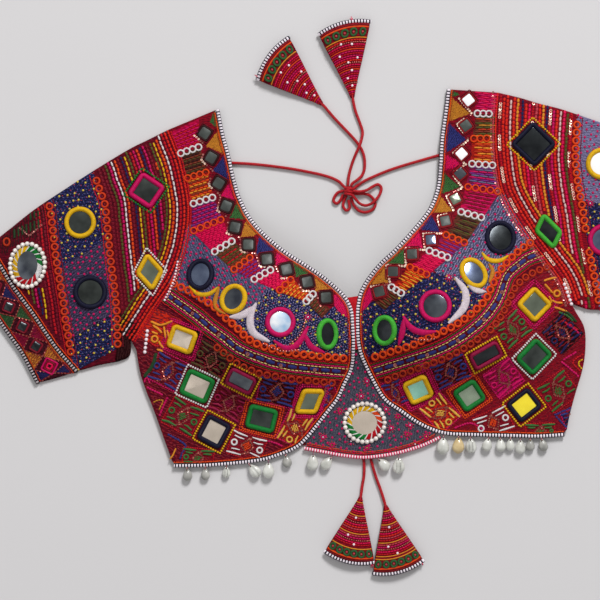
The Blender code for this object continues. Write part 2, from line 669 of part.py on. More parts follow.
def add_piping(name, line, half_width=PIPING_HALF_WIDTH):
    """A piping along an edge or seam, standing a little proud of the cloth."""
    sections = []
    for (x, y), (side_x, side_y) in zip(line, side_vectors(line)):
        centre = (x, y, cloth_top(x, y) - PIPING_SINK)
        sections.append((centre, (-side_x, -side_y, 0), (0, 0, 1), half_width, PIPING_HALF_HEIGHT))
    return add_sweep(name, sections, 6, "piping")


def add_ring_piping(name, line):
    """A piping right round a flat tube's end: over the top wall and back under the lower one."""
    whole = length_of(line)
    middle = [whole * i / RING_SECTIONS for i in range(1, RING_SECTIONS)]
    line = at_lengths(line, [RING["inset"]] + middle + [whole - RING["inset"]])
    vectors = side_vectors(line)
    sections = []

    def add(place, high, run, half_height):
        """run is the cord's direction there, as (along the line, up)."""
        (x, y), (side_x, side_y) = place
        along = (side_y, -side_x)
        across = (side_x, side_y, 0)
        up = (-along[0] * run[1], -along[1] * run[1], run[0])
        sections.append(((x, y, high), (-across[0], -across[1], 0), up, PIPING_HALF_WIDTH, half_height))

    def past(end, off):
        (x, y), (side_x, side_y) = end
        return (x + side_y * off, y - side_x * off), (side_x, side_y)

    places = list(zip(line, vectors))
    add(past(places[0], -RING["past"]), RING["side_z"], (0, 1), RING["side_half"])
    for place in places:
        add(place, RING["top_z"], (1, 0), RING["top_half"])
    add(past(places[-1], RING["past"]), RING["side_z"], (0, -1), RING["side_half"])
    for place in places[::-1]:
        add(place, RING["under_z"], (-1, 0), RING["under_half"])
    return add_sweep(name, sections, 6, "piping", closed=True)


def add_tie(name, route):
    """A round cord: a curve with filled ends."""
    line = smooth(route, TIE_STEP)
    curve = bpy.data.curves.new(name, "CURVE")
    curve.dimensions = "3D"
    curve.bevel_depth = TIE_RADIUS * MM
    curve.bevel_resolution = 2
    curve.use_fill_caps = True
    spline = curve.splines.new("POLY")
    spline.points.add(len(line) - 1)
    for point, (x, y, z) in zip(spline.points, line):
        point.co = (x * MM, y * MM, z * MM, 1)
    curve.materials.append(material("tie"))
    made = bpy.data.objects.new(name, curve)
    bpy.context.scene.collection.objects.link(made)
    return made


def add_knot():
    """The bow's knot: a ribbed lump."""
    points = []
    sides, rings = KNOT["sides"], KNOT["rings"]
    for i in range(1, rings):
        polar = math.pi * i / rings
        for k in range(sides):
            angle = math.tau * k / sides
            rib = 1 - 0.07 * (k % 2)
            points.append((
                KNOT["x"] + KNOT["half_x"] * rib * math.sin(polar) * math.cos(angle),
                KNOT["y"] + KNOT["half_y"] * rib * math.sin(polar) * math.sin(angle),
                KNOT["z"] - KNOT["half_z"] * math.cos(polar)))
    faces = [tuple(range(sides))[::-1]]
    for i in range(rings - 2):
        for k in range(sides):
            m = (k + 1) % sides
            faces.append((i * sides + k, i * sides + m, (i + 1) * sides + m, (i + 1) * sides + k))
    faces.append(tuple((rings - 2) * sides + k for k in range(sides)))
    return add_mesh("tie_knot", points, faces, "tie")


def add_latkan(name, row):
    """A flat stuffed cone: its underside lies on the surface, its wide end is an arc."""
    row = dict(zip(LATKAN_COLUMNS, row))
    tip, a, b = row["tip"], row["corner_a"], row["corner_b"]
    points = []
    for part, size in LATKAN_SECTION:
        left = tuple(t + (c - t) * part for t, c in zip(tip, a))
        right = tuple(t + (c - t) * part for t, c in zip(tip, b))
        run = math.dist(a, b)
        out = ((a[1] - b[1]) / run, (b[0] - a[0]) / run)
        middle = ((a[0] + b[0]) / 2 - tip[0], (a[1] + b[1]) / 2 - tip[1])
        if out[0] * middle[0] + out[1] * middle[1] < 0:
            out = (-out[0], -out[1])
        wide = max(math.dist(a, b) * size, LATKAN_TIP)
        centre = ((left[0] + right[0]) / 2, (left[1] + right[1]) / 2)
        along = ((b[0] - a[0]) / run, (b[1] - a[1]) / run)
        thick = LATKAN_TIP + (LATKAN_THICK - LATKAN_TIP) * eased(part * 1.2)
        if part == 1:
            thick -= LATKAN_EDGE_DROP
        for k in range(LATKAN_SIDES):
            angle = math.tau * (k + 0.5) / LATKAN_SIDES
            across = math.cos(angle)
            bulge = LATKAN_BULGE * part * (1 - across ** 2)
            high = thick * 0.5 * (1 + math.sin(angle)) if math.sin(angle) > 0 else 0.5 * thick * (
                1 + math.sin(angle) * min(1.0, 1.6 * (1 - across ** 4)))
            points.append((
                centre[0] + along[0] * wide / 2 * across + out[0] * bulge,
                centre[1] + along[1] * wide / 2 * across + out[1] * bulge,
                max(high, 0.0)))
    count = len(LATKAN_SECTION)
    faces = [tuple(range(LATKAN_SIDES))]
    for i in range(count - 1):
        for k in range(LATKAN_SIDES):
            m = (k + 1) % LATKAN_SIDES
            faces.append((i * LATKAN_SIDES + k, (i + 1) * LATKAN_SIDES + k, (i + 1) * LATKAN_SIDES + m,
                          i * LATKAN_SIDES + m))
    faces.append(tuple((count - 1) * LATKAN_SIDES + k for k in range(LATKAN_SIDES))[::-1])
    return add_mesh(name, points, faces, "latkan")


def turn_out(mesh):
    """Turns a closed mesh's faces outwards."""
    volume = 0.0
    for face in mesh.polygons:
        corners = [mesh.vertices[i].co for i in face.vertices]
        for b, c in zip(corners[1:], corners[2:]):
            volume += corners[0].dot(b.cross(c))
    if volume < 0:
        mesh.flip_normals()


def add_cowrie(name, row, hem):
    """A cowrie shell with its thread, hanging from the hem and lying on the surface."""
    row = dict(zip(COWRIE_COLUMNS, row))
    lean = math.radians(row["lean"])
    down = (math.sin(lean), -math.cos(lean))
    across = (-down[1], down[0])
    near = (row["x"], y_on(hem, row["x"]))
    reach = 0.0
    clear = SEAM_HALF + THREAD_RADIUS * abs(math.sin(lean))
    while distance_to((near[0] + down[0] * reach, near[1] + down[1] * reach), hem) < clear:
        reach += 0.05
    high = cloth_top(*near) - PIPING_SINK
    half = row["long"] * COWRIE_ASPECT
    tall = half * COWRIE_FLATNESS
    rings = [(reach, THREAD_RADIUS, THREAD_RADIUS, high)]
    rings.append((reach + row["thread"], THREAD_RADIUS, THREAD_RADIUS, COWRIE_CLEAR + tall))
    for part, size in COWRIE_SECTION:
        place = reach + row["thread"] + THREAD_RADIUS + row["long"] * part
        rings.append((place, half * size, tall * size, COWRIE_CLEAR + tall))
    points = []
    for place, wide, high, middle in rings:
        for k in range(COWRIE_SIDES):
            angle = math.tau * (k + 0.5) / COWRIE_SIDES
            off = wide * math.cos(angle)
            points.append((
                near[0] + down[0] * place + across[0] * off,
                near[1] + down[1] * place + across[1] * off,
                middle + high * math.sin(angle)))
    faces = [tuple(range(COWRIE_SIDES))]
    for i in range(len(rings) - 1):
        for k in range(COWRIE_SIDES):
            m = (k + 1) % COWRIE_SIDES
            faces.append((i * COWRIE_SIDES + k, (i + 1) * COWRIE_SIDES + k, (i + 1) * COWRIE_SIDES + m,
                          i * COWRIE_SIDES + m))
    faces.append(tuple((len(rings) - 1) * COWRIE_SIDES + k for k in range(COWRIE_SIDES))[::-1])
    return add_mesh(name, points, faces, "shell")


# --- the blouse -------------------------------------------------------------------------

def build_side(side, seam, armhole, side_seam, inward):
    """One front panel. inward is +1 where the panel lies to the left of its seam's run."""
    edge = moved(seam, inward * SEAM_HALF)
    arm = moved(smooth(armhole, OUTLINE_STEP), -inward * GAP / 2)
    outline = edge + smooth(side_seam, OUTLINE_STEP)[::-1][1:] + arm[::-1]
    add_panel("front_" + side, outline, "front", MIRRORS["front_" + side])
    add_piping("front_piping_" + side, seam)


def build_back(side, armhole, side_seam, neck, hem, inward):
    arm = moved(smooth(armhole, OUTLINE_STEP), -inward * GAP / 2)
    outline = smooth(neck, OUTLINE_STEP) + smooth(hem, OUTLINE_STEP)
    outline += smooth(side_seam, OUTLINE_STEP)[::-1][1:] + arm[::-1]
    add_plate("back_" + side, outline, LINING, "back")


def build_gusset(seam_left, seam_right, hem):
    low = moved(hem, SEAM_HALF)
    left = [p for p in moved(seam_left, SEAM_HALF) if y_on(low, p[0]) + 1 < p[1] < GUSSET_TOP]
    right = [p for p in moved(seam_right, -SEAM_HALF) if y_on(low, p[0]) + 1 < p[1] < GUSSET_TOP]
    left = [p for p in left if p[0] > low[0][0] + 1]
    right = [p for p in right if p[0] < low[-1][0] - 1]
    low = [p for p in low if left[-1][0] + 1 < p[0] < right[-1][0] - 1]
    add_panel("front_gusset", left + low + right[::-1], "gusset", MIRRORS["front_gusset"], GRID * 0.9)
    add_piping("gusset_piping", hem, PIPING_HALF_WIDTH * 0.9)


def build_sleeve(side, table, outward):
    """Sleeve and cuff band, with a ring of piping at the cuff's seam and at its edge."""
    top = smooth(table["top"], GRID)
    under = smooth(table["under"], GRID)
    armhole = moved(smooth(table["armhole"], 3.0), outward * GAP / 2)
    seam = smooth(table["cuff_seam"], 3.0)
    edge = smooth(table["cuff_edge"], 3.0)

    def between(line, from_curve, to_curve):
        """The stretch of a fold's line between two end curves."""
        start = min(range(len(line)), key=lambda i: math.dist(line[i], from_curve))
        stop = min(range(len(line)), key=lambda i: math.dist(line[i], to_curve))
        middle = [p for p in line[start:stop + 1]
                  if math.dist(p, from_curve) > GRID * 0.5 and math.dist(p, to_curve) > GRID * 0.5]
        return [from_curve] + middle + [to_curve]

    inner_end = moved(seam, -outward * SEAM_HALF)
    cuff_start = moved(seam, outward * SEAM_HALF)
    cuff_end = moved(edge, -outward * SEAM_HALF)
    add_flat_tube(
        "sleeve_" + side, armhole, inner_end,
        between(top, armhole[0], inner_end[0]), between(under, armhole[-1], inner_end[-1]),
        "sleeve", MIRRORS["sleeve_" + side])
    add_flat_tube(
        "cuff_" + side, cuff_start, cuff_end,
        between(top, cuff_start[0], cuff_end[0]), between(under, cuff_start[-1], cuff_end[-1]), "cuff")
    add_ring_piping("cuff_seam_piping_" + side, seam)
    add_ring_piping("cuff_edge_piping_" + side, edge)


def main():
    for old in list(bpy.data.objects):
        bpy.data.objects.remove(old, do_unlink=True)
    seam_left = smooth(FRONT_SEAM_LEFT, PIPING_STEP)
    seam_right = smooth(FRONT_SEAM_RIGHT, PIPING_STEP)
    hem = smooth(GUSSET_HEM, PIPING_STEP)
    build_side("left", seam_left, ARMHOLE_LEFT, SIDE_LEFT, -1)
    build_side("right", seam_right, ARMHOLE_RIGHT, SIDE_RIGHT, 1)
    build_gusset(seam_left, seam_right, hem)
    build_back("left", ARMHOLE_LEFT, SIDE_LEFT, BACK_NECK_LEFT, BACK_HEM_LEFT, -1)
    build_back("right", ARMHOLE_RIGHT, SIDE_RIGHT, BACK_NECK_RIGHT, BACK_HEM_RIGHT, 1)
    build_sleeve("left", SLEEVE_LEFT, -1)
    build_sleeve("right", SLEEVE_RIGHT, 1)
    hem_left = [p for p in seam_left if p[0] < GUSSET_HEM[0][0] and p[1] < GUSSET_HEM[0][1] + 5]
    hem_right = [p for p in seam_right if p[0] > GUSSET_HEM[-2][0] and p[1] < 0]
    for i, row in enumerate(COWRIES):
        over = hem_left if row[0] < GUSSET_HEM[0][0] else hem if row[0] < GUSSET_HEM[-1][0] else hem_right
        add_cowrie(f"cowrie_{i + 1:02d}", row, over)
    for name, route in TIES.items():
        add_tie(name, route)
    add_knot()
    for name, row in LATKANS.items():
        add_latkan(name, row)


main()
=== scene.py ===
# Mirror-work choli blouse, laid flat: the cloth, cords and shells follow the solids,
# and the embroidery, mirrors, pearls and sequins are sewn on here.
#
# Plan millimetres: x to the right, y towards the shoulders, z up from the table.
# The embroidery is charted on a 600 mm board, x right and y down, whose point
# chartOrigin lies over the plan's zero.

import math

import bpy
import numpy as np
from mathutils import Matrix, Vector
from mathutils.geometry import delaunay_2d_cdt


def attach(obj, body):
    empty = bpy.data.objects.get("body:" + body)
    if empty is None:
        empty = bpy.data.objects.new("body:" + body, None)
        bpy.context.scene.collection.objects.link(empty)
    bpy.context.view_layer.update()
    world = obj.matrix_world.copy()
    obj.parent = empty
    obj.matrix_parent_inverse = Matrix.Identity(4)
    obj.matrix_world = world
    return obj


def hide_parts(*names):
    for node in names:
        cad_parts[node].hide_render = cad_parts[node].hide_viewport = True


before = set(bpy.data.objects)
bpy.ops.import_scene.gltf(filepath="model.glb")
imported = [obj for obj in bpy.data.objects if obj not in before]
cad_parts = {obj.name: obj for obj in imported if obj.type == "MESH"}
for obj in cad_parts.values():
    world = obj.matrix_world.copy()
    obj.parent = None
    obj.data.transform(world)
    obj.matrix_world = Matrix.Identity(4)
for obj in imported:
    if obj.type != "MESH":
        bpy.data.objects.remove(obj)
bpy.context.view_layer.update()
print("solids loaded:", len(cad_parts))

mm = 0.001
chartOrigin = (348.0, 283.0)
chance = np.random.default_rng(52)

# curves on the plan

def chart(points):
    return np.array([(x - chartOrigin[0], chartOrigin[1] - y) for x, y in points], float)


def lengthOf(line):
    return np.linalg.norm(np.diff(line, axis=0), axis=1).sum()


def distances(line):
    # how far along a line each of its points is
    return np.concatenate([[0], np.cumsum(np.linalg.norm(np.diff(line, axis=0), axis=1))])


def atPlaces(line, places):
    # points of a line at these distances from its start
    done = distances(line)
    return np.stack([np.interp(places, done, line[:, i]) for i in range(line.shape[1])], 1)


def evenly(line, step):
    whole = lengthOf(line)
    return atPlaces(line, np.linspace(0, whole, max(2, round(whole / step)) + 1))


def smooth(points, step, closed=False):
    # even points along a smooth curve through the given ones, on the plan or in space
    p = np.array(points, float)
    if closed:
        ext = np.vstack([p[-1], p, p[0], p[1]])
    else:
        ext = np.vstack([2 * p[0] - p[1], p, 2 * p[-1] - p[-2]])
    t = np.linspace(0, 1, 12, endpoint=False)[:, None]
    fine = []
    for a, b, c, d in zip(ext, ext[1:], ext[2:], ext[3:]):
        fine.append(0.5 * (2 * b + (c - a) * t + (2 * a - 5 * b + 4 * c - d) * t ** 2
                           + (3 * b - a - 3 * c + d) * t ** 3))
    line = evenly(np.vstack(fine + [ext[-2:-1]]), step)
    return line[:-1] if closed else line


def sideways(line, closed=False):
    # unit vector to the left of the run at each point
    if closed:
        run = np.roll(line, -1, 0) - np.roll(line, 1, 0)
    else:
        run = np.gradient(line, axis=0)
    run = run[:, :2] / np.maximum(np.linalg.norm(run[:, :2], axis=1), 1e-9)[:, None]
    return np.stack([-run[:, 1], run[:, 0]], 1)


def moved(line, left, closed=False):
    return line + sideways(line, closed) * left


def blended(first, last, share, step):
    # a curve part of the way from one curve to another
    count = 60
    one = atPlaces(first, np.linspace(0, lengthOf(first), count))
    two = atPlaces(last, np.linspace(0, lengthOf(last), count))
    return evenly(one + (two - one) * share, step)


def inside(xy, loop):
    x, y = xy[:, 0, None], xy[:, 1, None]
    a, b = loop, np.roll(loop, -1, 0)
    rise = np.where(np.abs(b[:, 1] - a[:, 1]) < 1e-9, 1e-9, b[:, 1] - a[:, 1])
    meets = a[:, 0] + (y - a[:, 1]) * (b[:, 0] - a[:, 0]) / rise
    crossed = ((a[:, 1] > y) != (b[:, 1] > y)) & (x < meets)
    return crossed.sum(1) % 2 == 1


def toLine(xy, line):
    # least distance from each point to a polyline
    a, run = line[:-1], np.diff(line, axis=0)
    square = np.maximum((run ** 2).sum(1), 1e-9)
    best = []
    for part in np.array_split(xy, len(xy) // 8000 + 1):
        away = part[:, None] - a
        share = np.clip((away * run).sum(2) / square, 0, 1)
        best.append(np.linalg.norm(away - share[..., None] * run, axis=2).min(1))
    return np.concatenate(best)


def closedLine(loop):
    return np.vstack([loop, loop[:1]])


def circle(sides, start=0.0):
    angle = np.linspace(0, math.tau, sides, endpoint=False) + start
    return np.stack([np.cos(angle), np.sin(angle)], 1)


def turned(points, degrees):
    c, s = math.cos(math.radians(degrees)), math.sin(math.radians(degrees))
    return np.stack([points[:, 0] * c - points[:, 1] * s, points[:, 0] * s + points[:, 1] * c], 1)


def eased(t):
    t = np.clip(t, 0, 1)
    return t * t * (3 - 2 * t)


# the cloth's height over the table, as in the solids

# cups: centre, height, reach to the left, right, up and down
# ridges: from x, y to x, y, half width and height
# small creases laid in on top of the ridges
clothForm = {
    "flat": 3.9, "wall": 2.0, "lining": 1.5, "gap": 0.3, "seamHalf": 2.35,
    "cups": [(-80, -52, 44, 112, 110, 150, 84), (92, -42, 44, 110, 122, 150, 84)],
    "lifts": [(17, -172, 30, 26, 2.2), (-119, 120, 15, 17, 2.2), (95, 128, 15, 17, 2.2)],
    "folds": [(-206, -40, -158, 22, 9, 2.4), (-225, -62, -262, -18, 8, 2.2), (-298, -30, -240, 40, 14, 1.6),
        (-198, -92, -160, -118, 8, 2.0), (220, -34, 172, 30, 10, 2.4), (228, -92, 188, -104, 8, 2.0),
        (236, 0, 288, 62, 13, 1.8)],
    "creases": [(-200, -52, -176, -6, 4, 0.6), (-190, -70, -168, -30, 4, 0.5),
        (-212, -72, -188, -82, 3.5, 0.7), (-204, -100, -178, -98, 3.5, 0.6), (-196, -124, -172, -128, 4, 0.5),
        (-70, -132, -100, -158, 5, 0.4), (-228, -70, -240, -40, 4, 0.6), (-244, -76, -254, -40, 4, 0.5),
        (-268, -82, -262, -44, 5, 0.5), (-150, -150, -166, -166, 4, 0.5), (214, -40, 190, -8, 4, 0.6),
        (232, -60, 204, -52, 4, 0.7), (230, -84, 208, -74, 3.5, 0.6), (222, -116, 200, -122, 4, 0.5),
        (150, -138, 176, -140, 5, 0.4), (240, -22, 250, 14, 4, 0.6), (262, -20, 262, 22, 5, 0.5),
        (-8, -120, 4, -150, 5, 0.3), (40, -118, 30, -150, 5, 0.3), (-330, -20, -300, 20, 6, 0.5),
        (300, 0, 318, 60, 6, 0.5)]}


def ridge(xy, x, y, toX, toY, halfWidth, high):
    run = np.array([toX - x, toY - y], float)
    square = (run ** 2).sum()
    away = xy - (x, y)
    share = (away * run).sum(1) / square
    off = (away[:, 0] * run[1] - away[:, 1] * run[0]) / math.sqrt(square)
    shape = np.sin(math.pi * np.clip(share, 0, 1)) ** 2
    return np.where((share > 0) & (share < 1), high * shape * np.exp(-(off / halfWidth) ** 2), 0)


def frontHeight(xy):
    x, y = xy[:, 0], xy[:, 1]
    high = np.full(len(xy), clothForm["flat"])
    for cx, cy, peak, left, right, up, down in clothForm["cups"]:
        across = (x - cx) / np.where(x > cx, right, left)
        along = (y - cy) / np.where(y > cy, up, down)
        high = high + peak * np.maximum(1 - across ** 2 - along ** 2, 0) ** 2
    for cx, cy, wide, tall, rise in clothForm["lifts"]:
        high = high + rise * np.exp(-(((x - cx) / wide) ** 4 + ((y - cy) / tall) ** 4))
    for row in clothForm["folds"] + clothForm["creases"]:
        high = high + ridge(xy, *row)
    return high


# a sleeve or cuff laid flat: height of its folds, how round they are, and how much fuller it is between them
flatTubeForm = {"fold": 1.9, "round": 3.0, "full": 3.0, "fullOver": 30.0, "fullFrom": 24.0}


def flatTubeHeight(folds, ends):
    def height(xy):
        form = flatTubeForm
        off = np.minimum(toLine(xy, folds[0]), toLine(xy, folds[1]))
        near = np.minimum(toLine(xy, ends[0]), toLine(xy, ends[1]))
        full = form["full"] * eased((off - form["round"]) / form["fullOver"]) * eased(near / form["fullFrom"])
        part = 1 - np.minimum(off / form["round"], 1)
        return form["fold"] + (frontHeight(xy) + full - form["fold"]) * np.sqrt(1 - part ** 2)
    return height


def placed(points, height):
    # plan x, y and height over the cloth, turned into metres along the cloth's normal
    xy = points[:, :2]
    base = height(xy)
    run = 0.4
    slopeX = (height(xy + (run, 0)) - base) / run
    slopeY = (height(xy + (0, run)) - base) / run
    up = 1 / np.sqrt(1 + slopeX ** 2 + slopeY ** 2)
    out = points[:, 2] * up
    return np.stack([xy[:, 0] - slopeX * out, xy[:, 1] - slopeY * out, base + out], 1) * mm


# materials

class Term:
    # a number socket on which Python's own operators add Math nodes
    def __init__(self, finish, socket):
        self.finish, self.socket = finish, socket

    def math(self, operation, first, second):
        return self.finish.term("ShaderNodeMath", {"operation": operation}, {0: first, 1: second})

    def __add__(self, other):
        return self.math("ADD", self, other)

    def __radd__(self, other):
        return self.math("ADD", other, self)

    def __sub__(self, other):
        return self.math("SUBTRACT", self, other)

    def __rsub__(self, other):
        return self.math("SUBTRACT", other, self)

    def __mul__(self, other):
        return self.math("MULTIPLY", self, other)

    def __rmul__(self, other):
        return self.math("MULTIPLY", other, self)

    def __gt__(self, other):
        return self.math("GREATER_THAN", self, other)


class Finish:
    # one material; node() adds any node: its settings first, then its sockets
    def __init__(self, name, **fixed):
        self.material = bpy.data.materials.new(name)
        self.material.use_nodes = True
        self.tree = self.material.node_tree
        self.surface = self.tree.nodes["Principled BSDF"]
        for key, value in fixed.items():
            self.surface.inputs[key.replace("_", " ")].default_value = value

    def node(self, kind, settings=None, sockets=None):
        made = self.tree.nodes.new(kind)
        for key, value in (settings or {}).items():
            setattr(made, key, value)
        for key, value in (sockets or {}).items():
            self.feed(made.inputs[key], value)
        return made

    def feed(self, socket, value):
        if isinstance(value, Term):
            value = value.socket
        if isinstance(value, bpy.types.NodeSocket):
            self.tree.links.new(value, socket)
        else:
            socket.default_value = value

    def term(self, kind, settings=None, sockets=None, output=0):
        return Term(self, self.node(kind, settings, sockets).outputs[output])

    def grain(self):
        # where a point is on its thread: along and across it, in millimetres
        read = self.node("ShaderNodeAttribute", {"attribute_name": "grain"})
        parts = self.node("ShaderNodeSeparateXYZ", None, {0: read.outputs["Vector"]})
        return Term(self, parts.outputs["X"]), Term(self, parts.outputs["Y"])

    def place(self):
        return self.node("ShaderNodeTexCoord").outputs["Object"]

    def noise(self, scale, detail=2.0, vector=None):
        return self.term("ShaderNodeTexNoise", None, {
            "Vector": vector or self.place(), "Scale": scale, "Detail": detail})

    def wave(self, value):
        return self.term("ShaderNodeMath", {"operation": "SINE"}, {0: value}) * 0.5 + 0.5

    def clamped(self, value):
        return self.term("ShaderNodeClamp", None, {0: value})

    def mixed(self, share, first, last):
        made = self.node("ShaderNodeMix", {"data_type": "RGBA"}, {"Factor": share, 6: first, 7: last})
        return made.outputs[2]

    def bump(self, height, distance, strength):
        made = self.node("ShaderNodeBump", None, {
            "Strength": strength, "Distance": distance, "Height": height})
        self.feed(self.surface.inputs["Normal"], made.outputs[0])

    def colour(self, value):
        self.feed(self.surface.inputs["Base Color"], value)

    def rough(self, value):
        self.feed(self.surface.inputs["Roughness"], value)


def paint(*card):
    # a colour given as on a colour card, 0 to 255
    return tuple(((v / 255 + 0.055) / 1.055) ** 2.4 if v > 10 else v / 255 / 12.92 for v in card) + (1.0,)


def shade(colour, times):
    return tuple(min(v * times, 1.0) for v in colour[:3]) + (1.0,)


threadColours = {
    "crimson": (192, 14, 30), "maroon": (122, 12, 34), "darkRed": (136, 12, 24), "magenta": (204, 6, 92),
    "pink": (230, 6, 80), "orange": (234, 72, 18), "rust": (182, 50, 20), "yellow": (238, 180, 20),
    "gold": (196, 128, 38), "green": (20, 124, 50), "bright": (70, 176, 56), "leaf": (58, 110, 52),
    "olive": (84, 84, 34), "navy": (30, 30, 78), "ink": (18, 18, 44), "blue": (46, 50, 118),
    "slate": (104, 102, 138), "mist": (142, 136, 172), "purple": (122, 42, 132), "white": (240, 228, 228),
    "lilac": (220, 206, 214), "amber": (236, 146, 40), "lemon": (222, 196, 74), "straw": (232, 176, 72),
    "blush": (230, 196, 190), "fern": (46, 92, 50), "pale": (236, 200, 124), "moss": (84, 66, 34),
    "deepLeaf": (34, 66, 36), "scarlet": (226, 40, 24), "umber": (52, 12, 16), "ash": (92, 92, 106),
    "sienna": (128, 52, 34), "rose": (196, 66, 78), "wine": (146, 10, 62), "dusk": (86, 74, 108),
    "ember": (206, 58, 22)}
finishes = {}


def threadFinish(name, colour):
    # stranded silk: fine filaments along the thread, with painted shade in the grooves between them
    f = Finish("thread_" + name, Specular_IOR_Level=0.15)
    along, across = f.grain()
    strands = f.wave(across * (math.tau / 0.5) + along * 0.9)
    # plies differ across the thread, and so do the turns of a wrapped frame
    lengths = f.node("ShaderNodeCombineXYZ", None, {0: along * 0.3, 1: across * 1.5})
    ply = f.noise(1.0, 1, lengths.outputs[0])
    mottle = f.clamped((f.noise(420, 3) * 0.55 + ply * 0.45) * 2.2 - 0.6)
    base = paint(*colour)
    body = f.mixed(mottle, shade(base, 0.66), shade(base, 1.34))
    # painted shade: the colour darkens in the grooves between the filaments
    f.colour(f.mixed(strands * 0.75 + 0.25, shade(base, 0.5), body))
    f.rough(f.noise(900) * 0.25 + 0.4)
    f.bump(strands, 0.00012, 0.8)
    return f.material


for name, colour in threadColours.items():
    finishes[name] = threadFinish(name, colour)


# ground, the darker gaps between its stitches, threads to the millimetre, and their run in degrees
clothColours = {
    "groundRed": ((132, 12, 30), (66, 6, 20), 0.9, 20), "groundMaroon": ((98, 10, 28), (48, 6, 18), 0.9, 20),
    # the next ground is painted shade, for cells under the cups
    "groundDeepPaintedShade": ((66, 8, 18), (32, 4, 10), 0.9, 80),
    "groundOrange": ((200, 44, 24), (136, 18, 20), 0.8, 20),
    "groundSlate": ((74, 74, 102), (42, 40, 62), 1.1, 60),
    "groundMist": ((110, 104, 138), (70, 64, 94), 1.1, 60),
    "groundNavy": ((30, 30, 66), (14, 14, 36), 1.1, 35), "groundPink": ((178, 6, 60), (104, 4, 34), 0.8, 15),
    "groundGreen": ((96, 46, 34), (56, 26, 18), 0.9, 15),
    "groundGold": ((184, 116, 38), (120, 56, 24), 1.1, 60),
    "groundPurple": ((126, 22, 66), (76, 12, 44), 0.8, 10),
    "groundYellow": ((166, 30, 20), (100, 12, 16), 0.8, 8),
    "groundMagenta": ((180, 14, 92), (112, 8, 50), 0.9, 65),
    # the second ground on the next line is painted shade, laid in hollows and corners
    "groundBorder": ((62, 14, 26), (32, 8, 14), 1.0, 45), "groundPaintedShade": ((40, 8, 10), (20, 4, 8), 0.9, 30),
    # the second ground on the next line is the left sleeve's slate, darkened with painted shade
    "groundAsh": ((70, 70, 84), (40, 38, 50), 1.1, 60), "groundSlatePaintedShade": ((56, 48, 72), (28, 24, 42), 1.1, 60),
    "groundLeaf": ((52, 84, 48), (30, 36, 28), 1.1, 50), "groundBlue": ((38, 36, 82), (20, 16, 42), 1.0, 50),
    "groundPlum": ((120, 10, 48), (66, 6, 28), 0.9, 65), "backCloth": ((132, 16, 34), (98, 10, 26), 1.6, 0),
    "liningCloth": ((186, 150, 122), (150, 112, 90), 1.6, 0)}


def clothFinish(name, ground, gap, threads, turn):
    # cloth covered in short stitches that run one way
    f = Finish("cloth_" + name, Specular_IOR_Level=0.05)
    run = f.node("ShaderNodeMapping", None, {
        "Vector": f.place(), "Rotation": (0, 0, math.radians(turn)),
        "Scale": (260 * threads, 900 * threads, 260)})
    stitches = f.noise(1.0, 2, run.outputs[0])
    weave = f.noise(1500, 1)
    base = paint(*ground)
    body = f.mixed(f.noise(120, 3), shade(base, 0.8), shade(base, 1.22))
    f.colour(f.mixed(f.clamped(stitches * 3.2 - 1.0), paint(*gap), body))
    f.rough(weave * 0.2 + 0.62)
    f.bump(stitches * 0.8 + weave * 0.2, 0.0005, 0.75)
    return f.material


for name, row in clothColours.items():
    finishes[name] = clothFinish(name, *row)


def cordFinish(name, light, dark, rough):
    # hard twisted cord; its lay is in the mesh, and its colour runs from painted shade between the strands to a
    # painted highlight on them
    f = Finish(name, Specular_IOR_Level=0.25)
    along, across = f.grain()
    strands = f.wave(across * (math.tau / 0.28) + along * 6.0)
    f.colour(f.mixed(strands * 0.5 + f.noise(500, 2) * 0.5, paint(*dark), paint(*light)))
    f.rough(f.noise(800) * 0.2 + rough)
    f.bump(strands, 0.0001, 0.6)
    return f.material


# the cord's dark and light: painted shade and painted highlight
finishes["tieCord"] = cordFinish("tie_cord", (222, 26, 40), (66, 2, 10), 0.45)


def stripeFinish(name, light, dark, pitch, share):
    # cord wrapped in two threads by turns
    f = Finish(name, Specular_IOR_Level=0.25)
    along, across = f.grain()
    turns = f.wave(along * (math.tau / pitch))
    worn = turns + (f.noise(300, 2) - 0.5) * 0.35
    stripe = f.clamped((worn - (1 - share)) * 8 + 0.5)
    pale = f.mixed(f.noise(700, 2), shade(paint(*light), 0.78), shade(paint(*light), 1.1))
    # the wrapping sinks in shade at both sides of the cord
    sides = f.term("ShaderNodeMath", {"operation": "ABSOLUTE"}, {0: across - math.pi}) > 1.75
    f.colour(f.mixed(sides, f.mixed(stripe, paint(*dark), pale), paint(*dark)))
    f.rough(f.noise(900) * 0.2 + 0.45)
    f.bump(f.wave(along * (math.tau / pitch * 2)), 0.0002, 0.7)
    return f.material


for name, row in {
        # the two threads, their pitch in millimetres and the light one's share
        "pipingStripe": ((238, 228, 236), (34, 26, 42), 3.0, 0.55),
        "pipingDark": ((186, 174, 178), (16, 12, 20), 3.0, 0.42),
        "pipingPink": ((250, 220, 228), (200, 24, 80), 2.7, 0.5)}.items():
    finishes[name] = stripeFinish(name, *row)


def mirrorFinish(name, tint, deep, metal=1.0, rough=0.2, coat=0.15):
    # silvered glass whose colour is a painted reflection, clouded between a light and a dark tone
    f = Finish("mirror_" + name, Metallic=metal, Coat_Weight=coat, Coat_Roughness=0.04)
    cloud = f.clamped(f.noise(60, 2) * 2.4 - 0.7)
    f.colour(f.mixed(cloud, paint(*deep), paint(*tint)))
    f.rough(f.noise(900, 2) * 0.08 + rough)
    f.bump(f.noise(140, 1), 0.0003, 0.15)
    return f.material
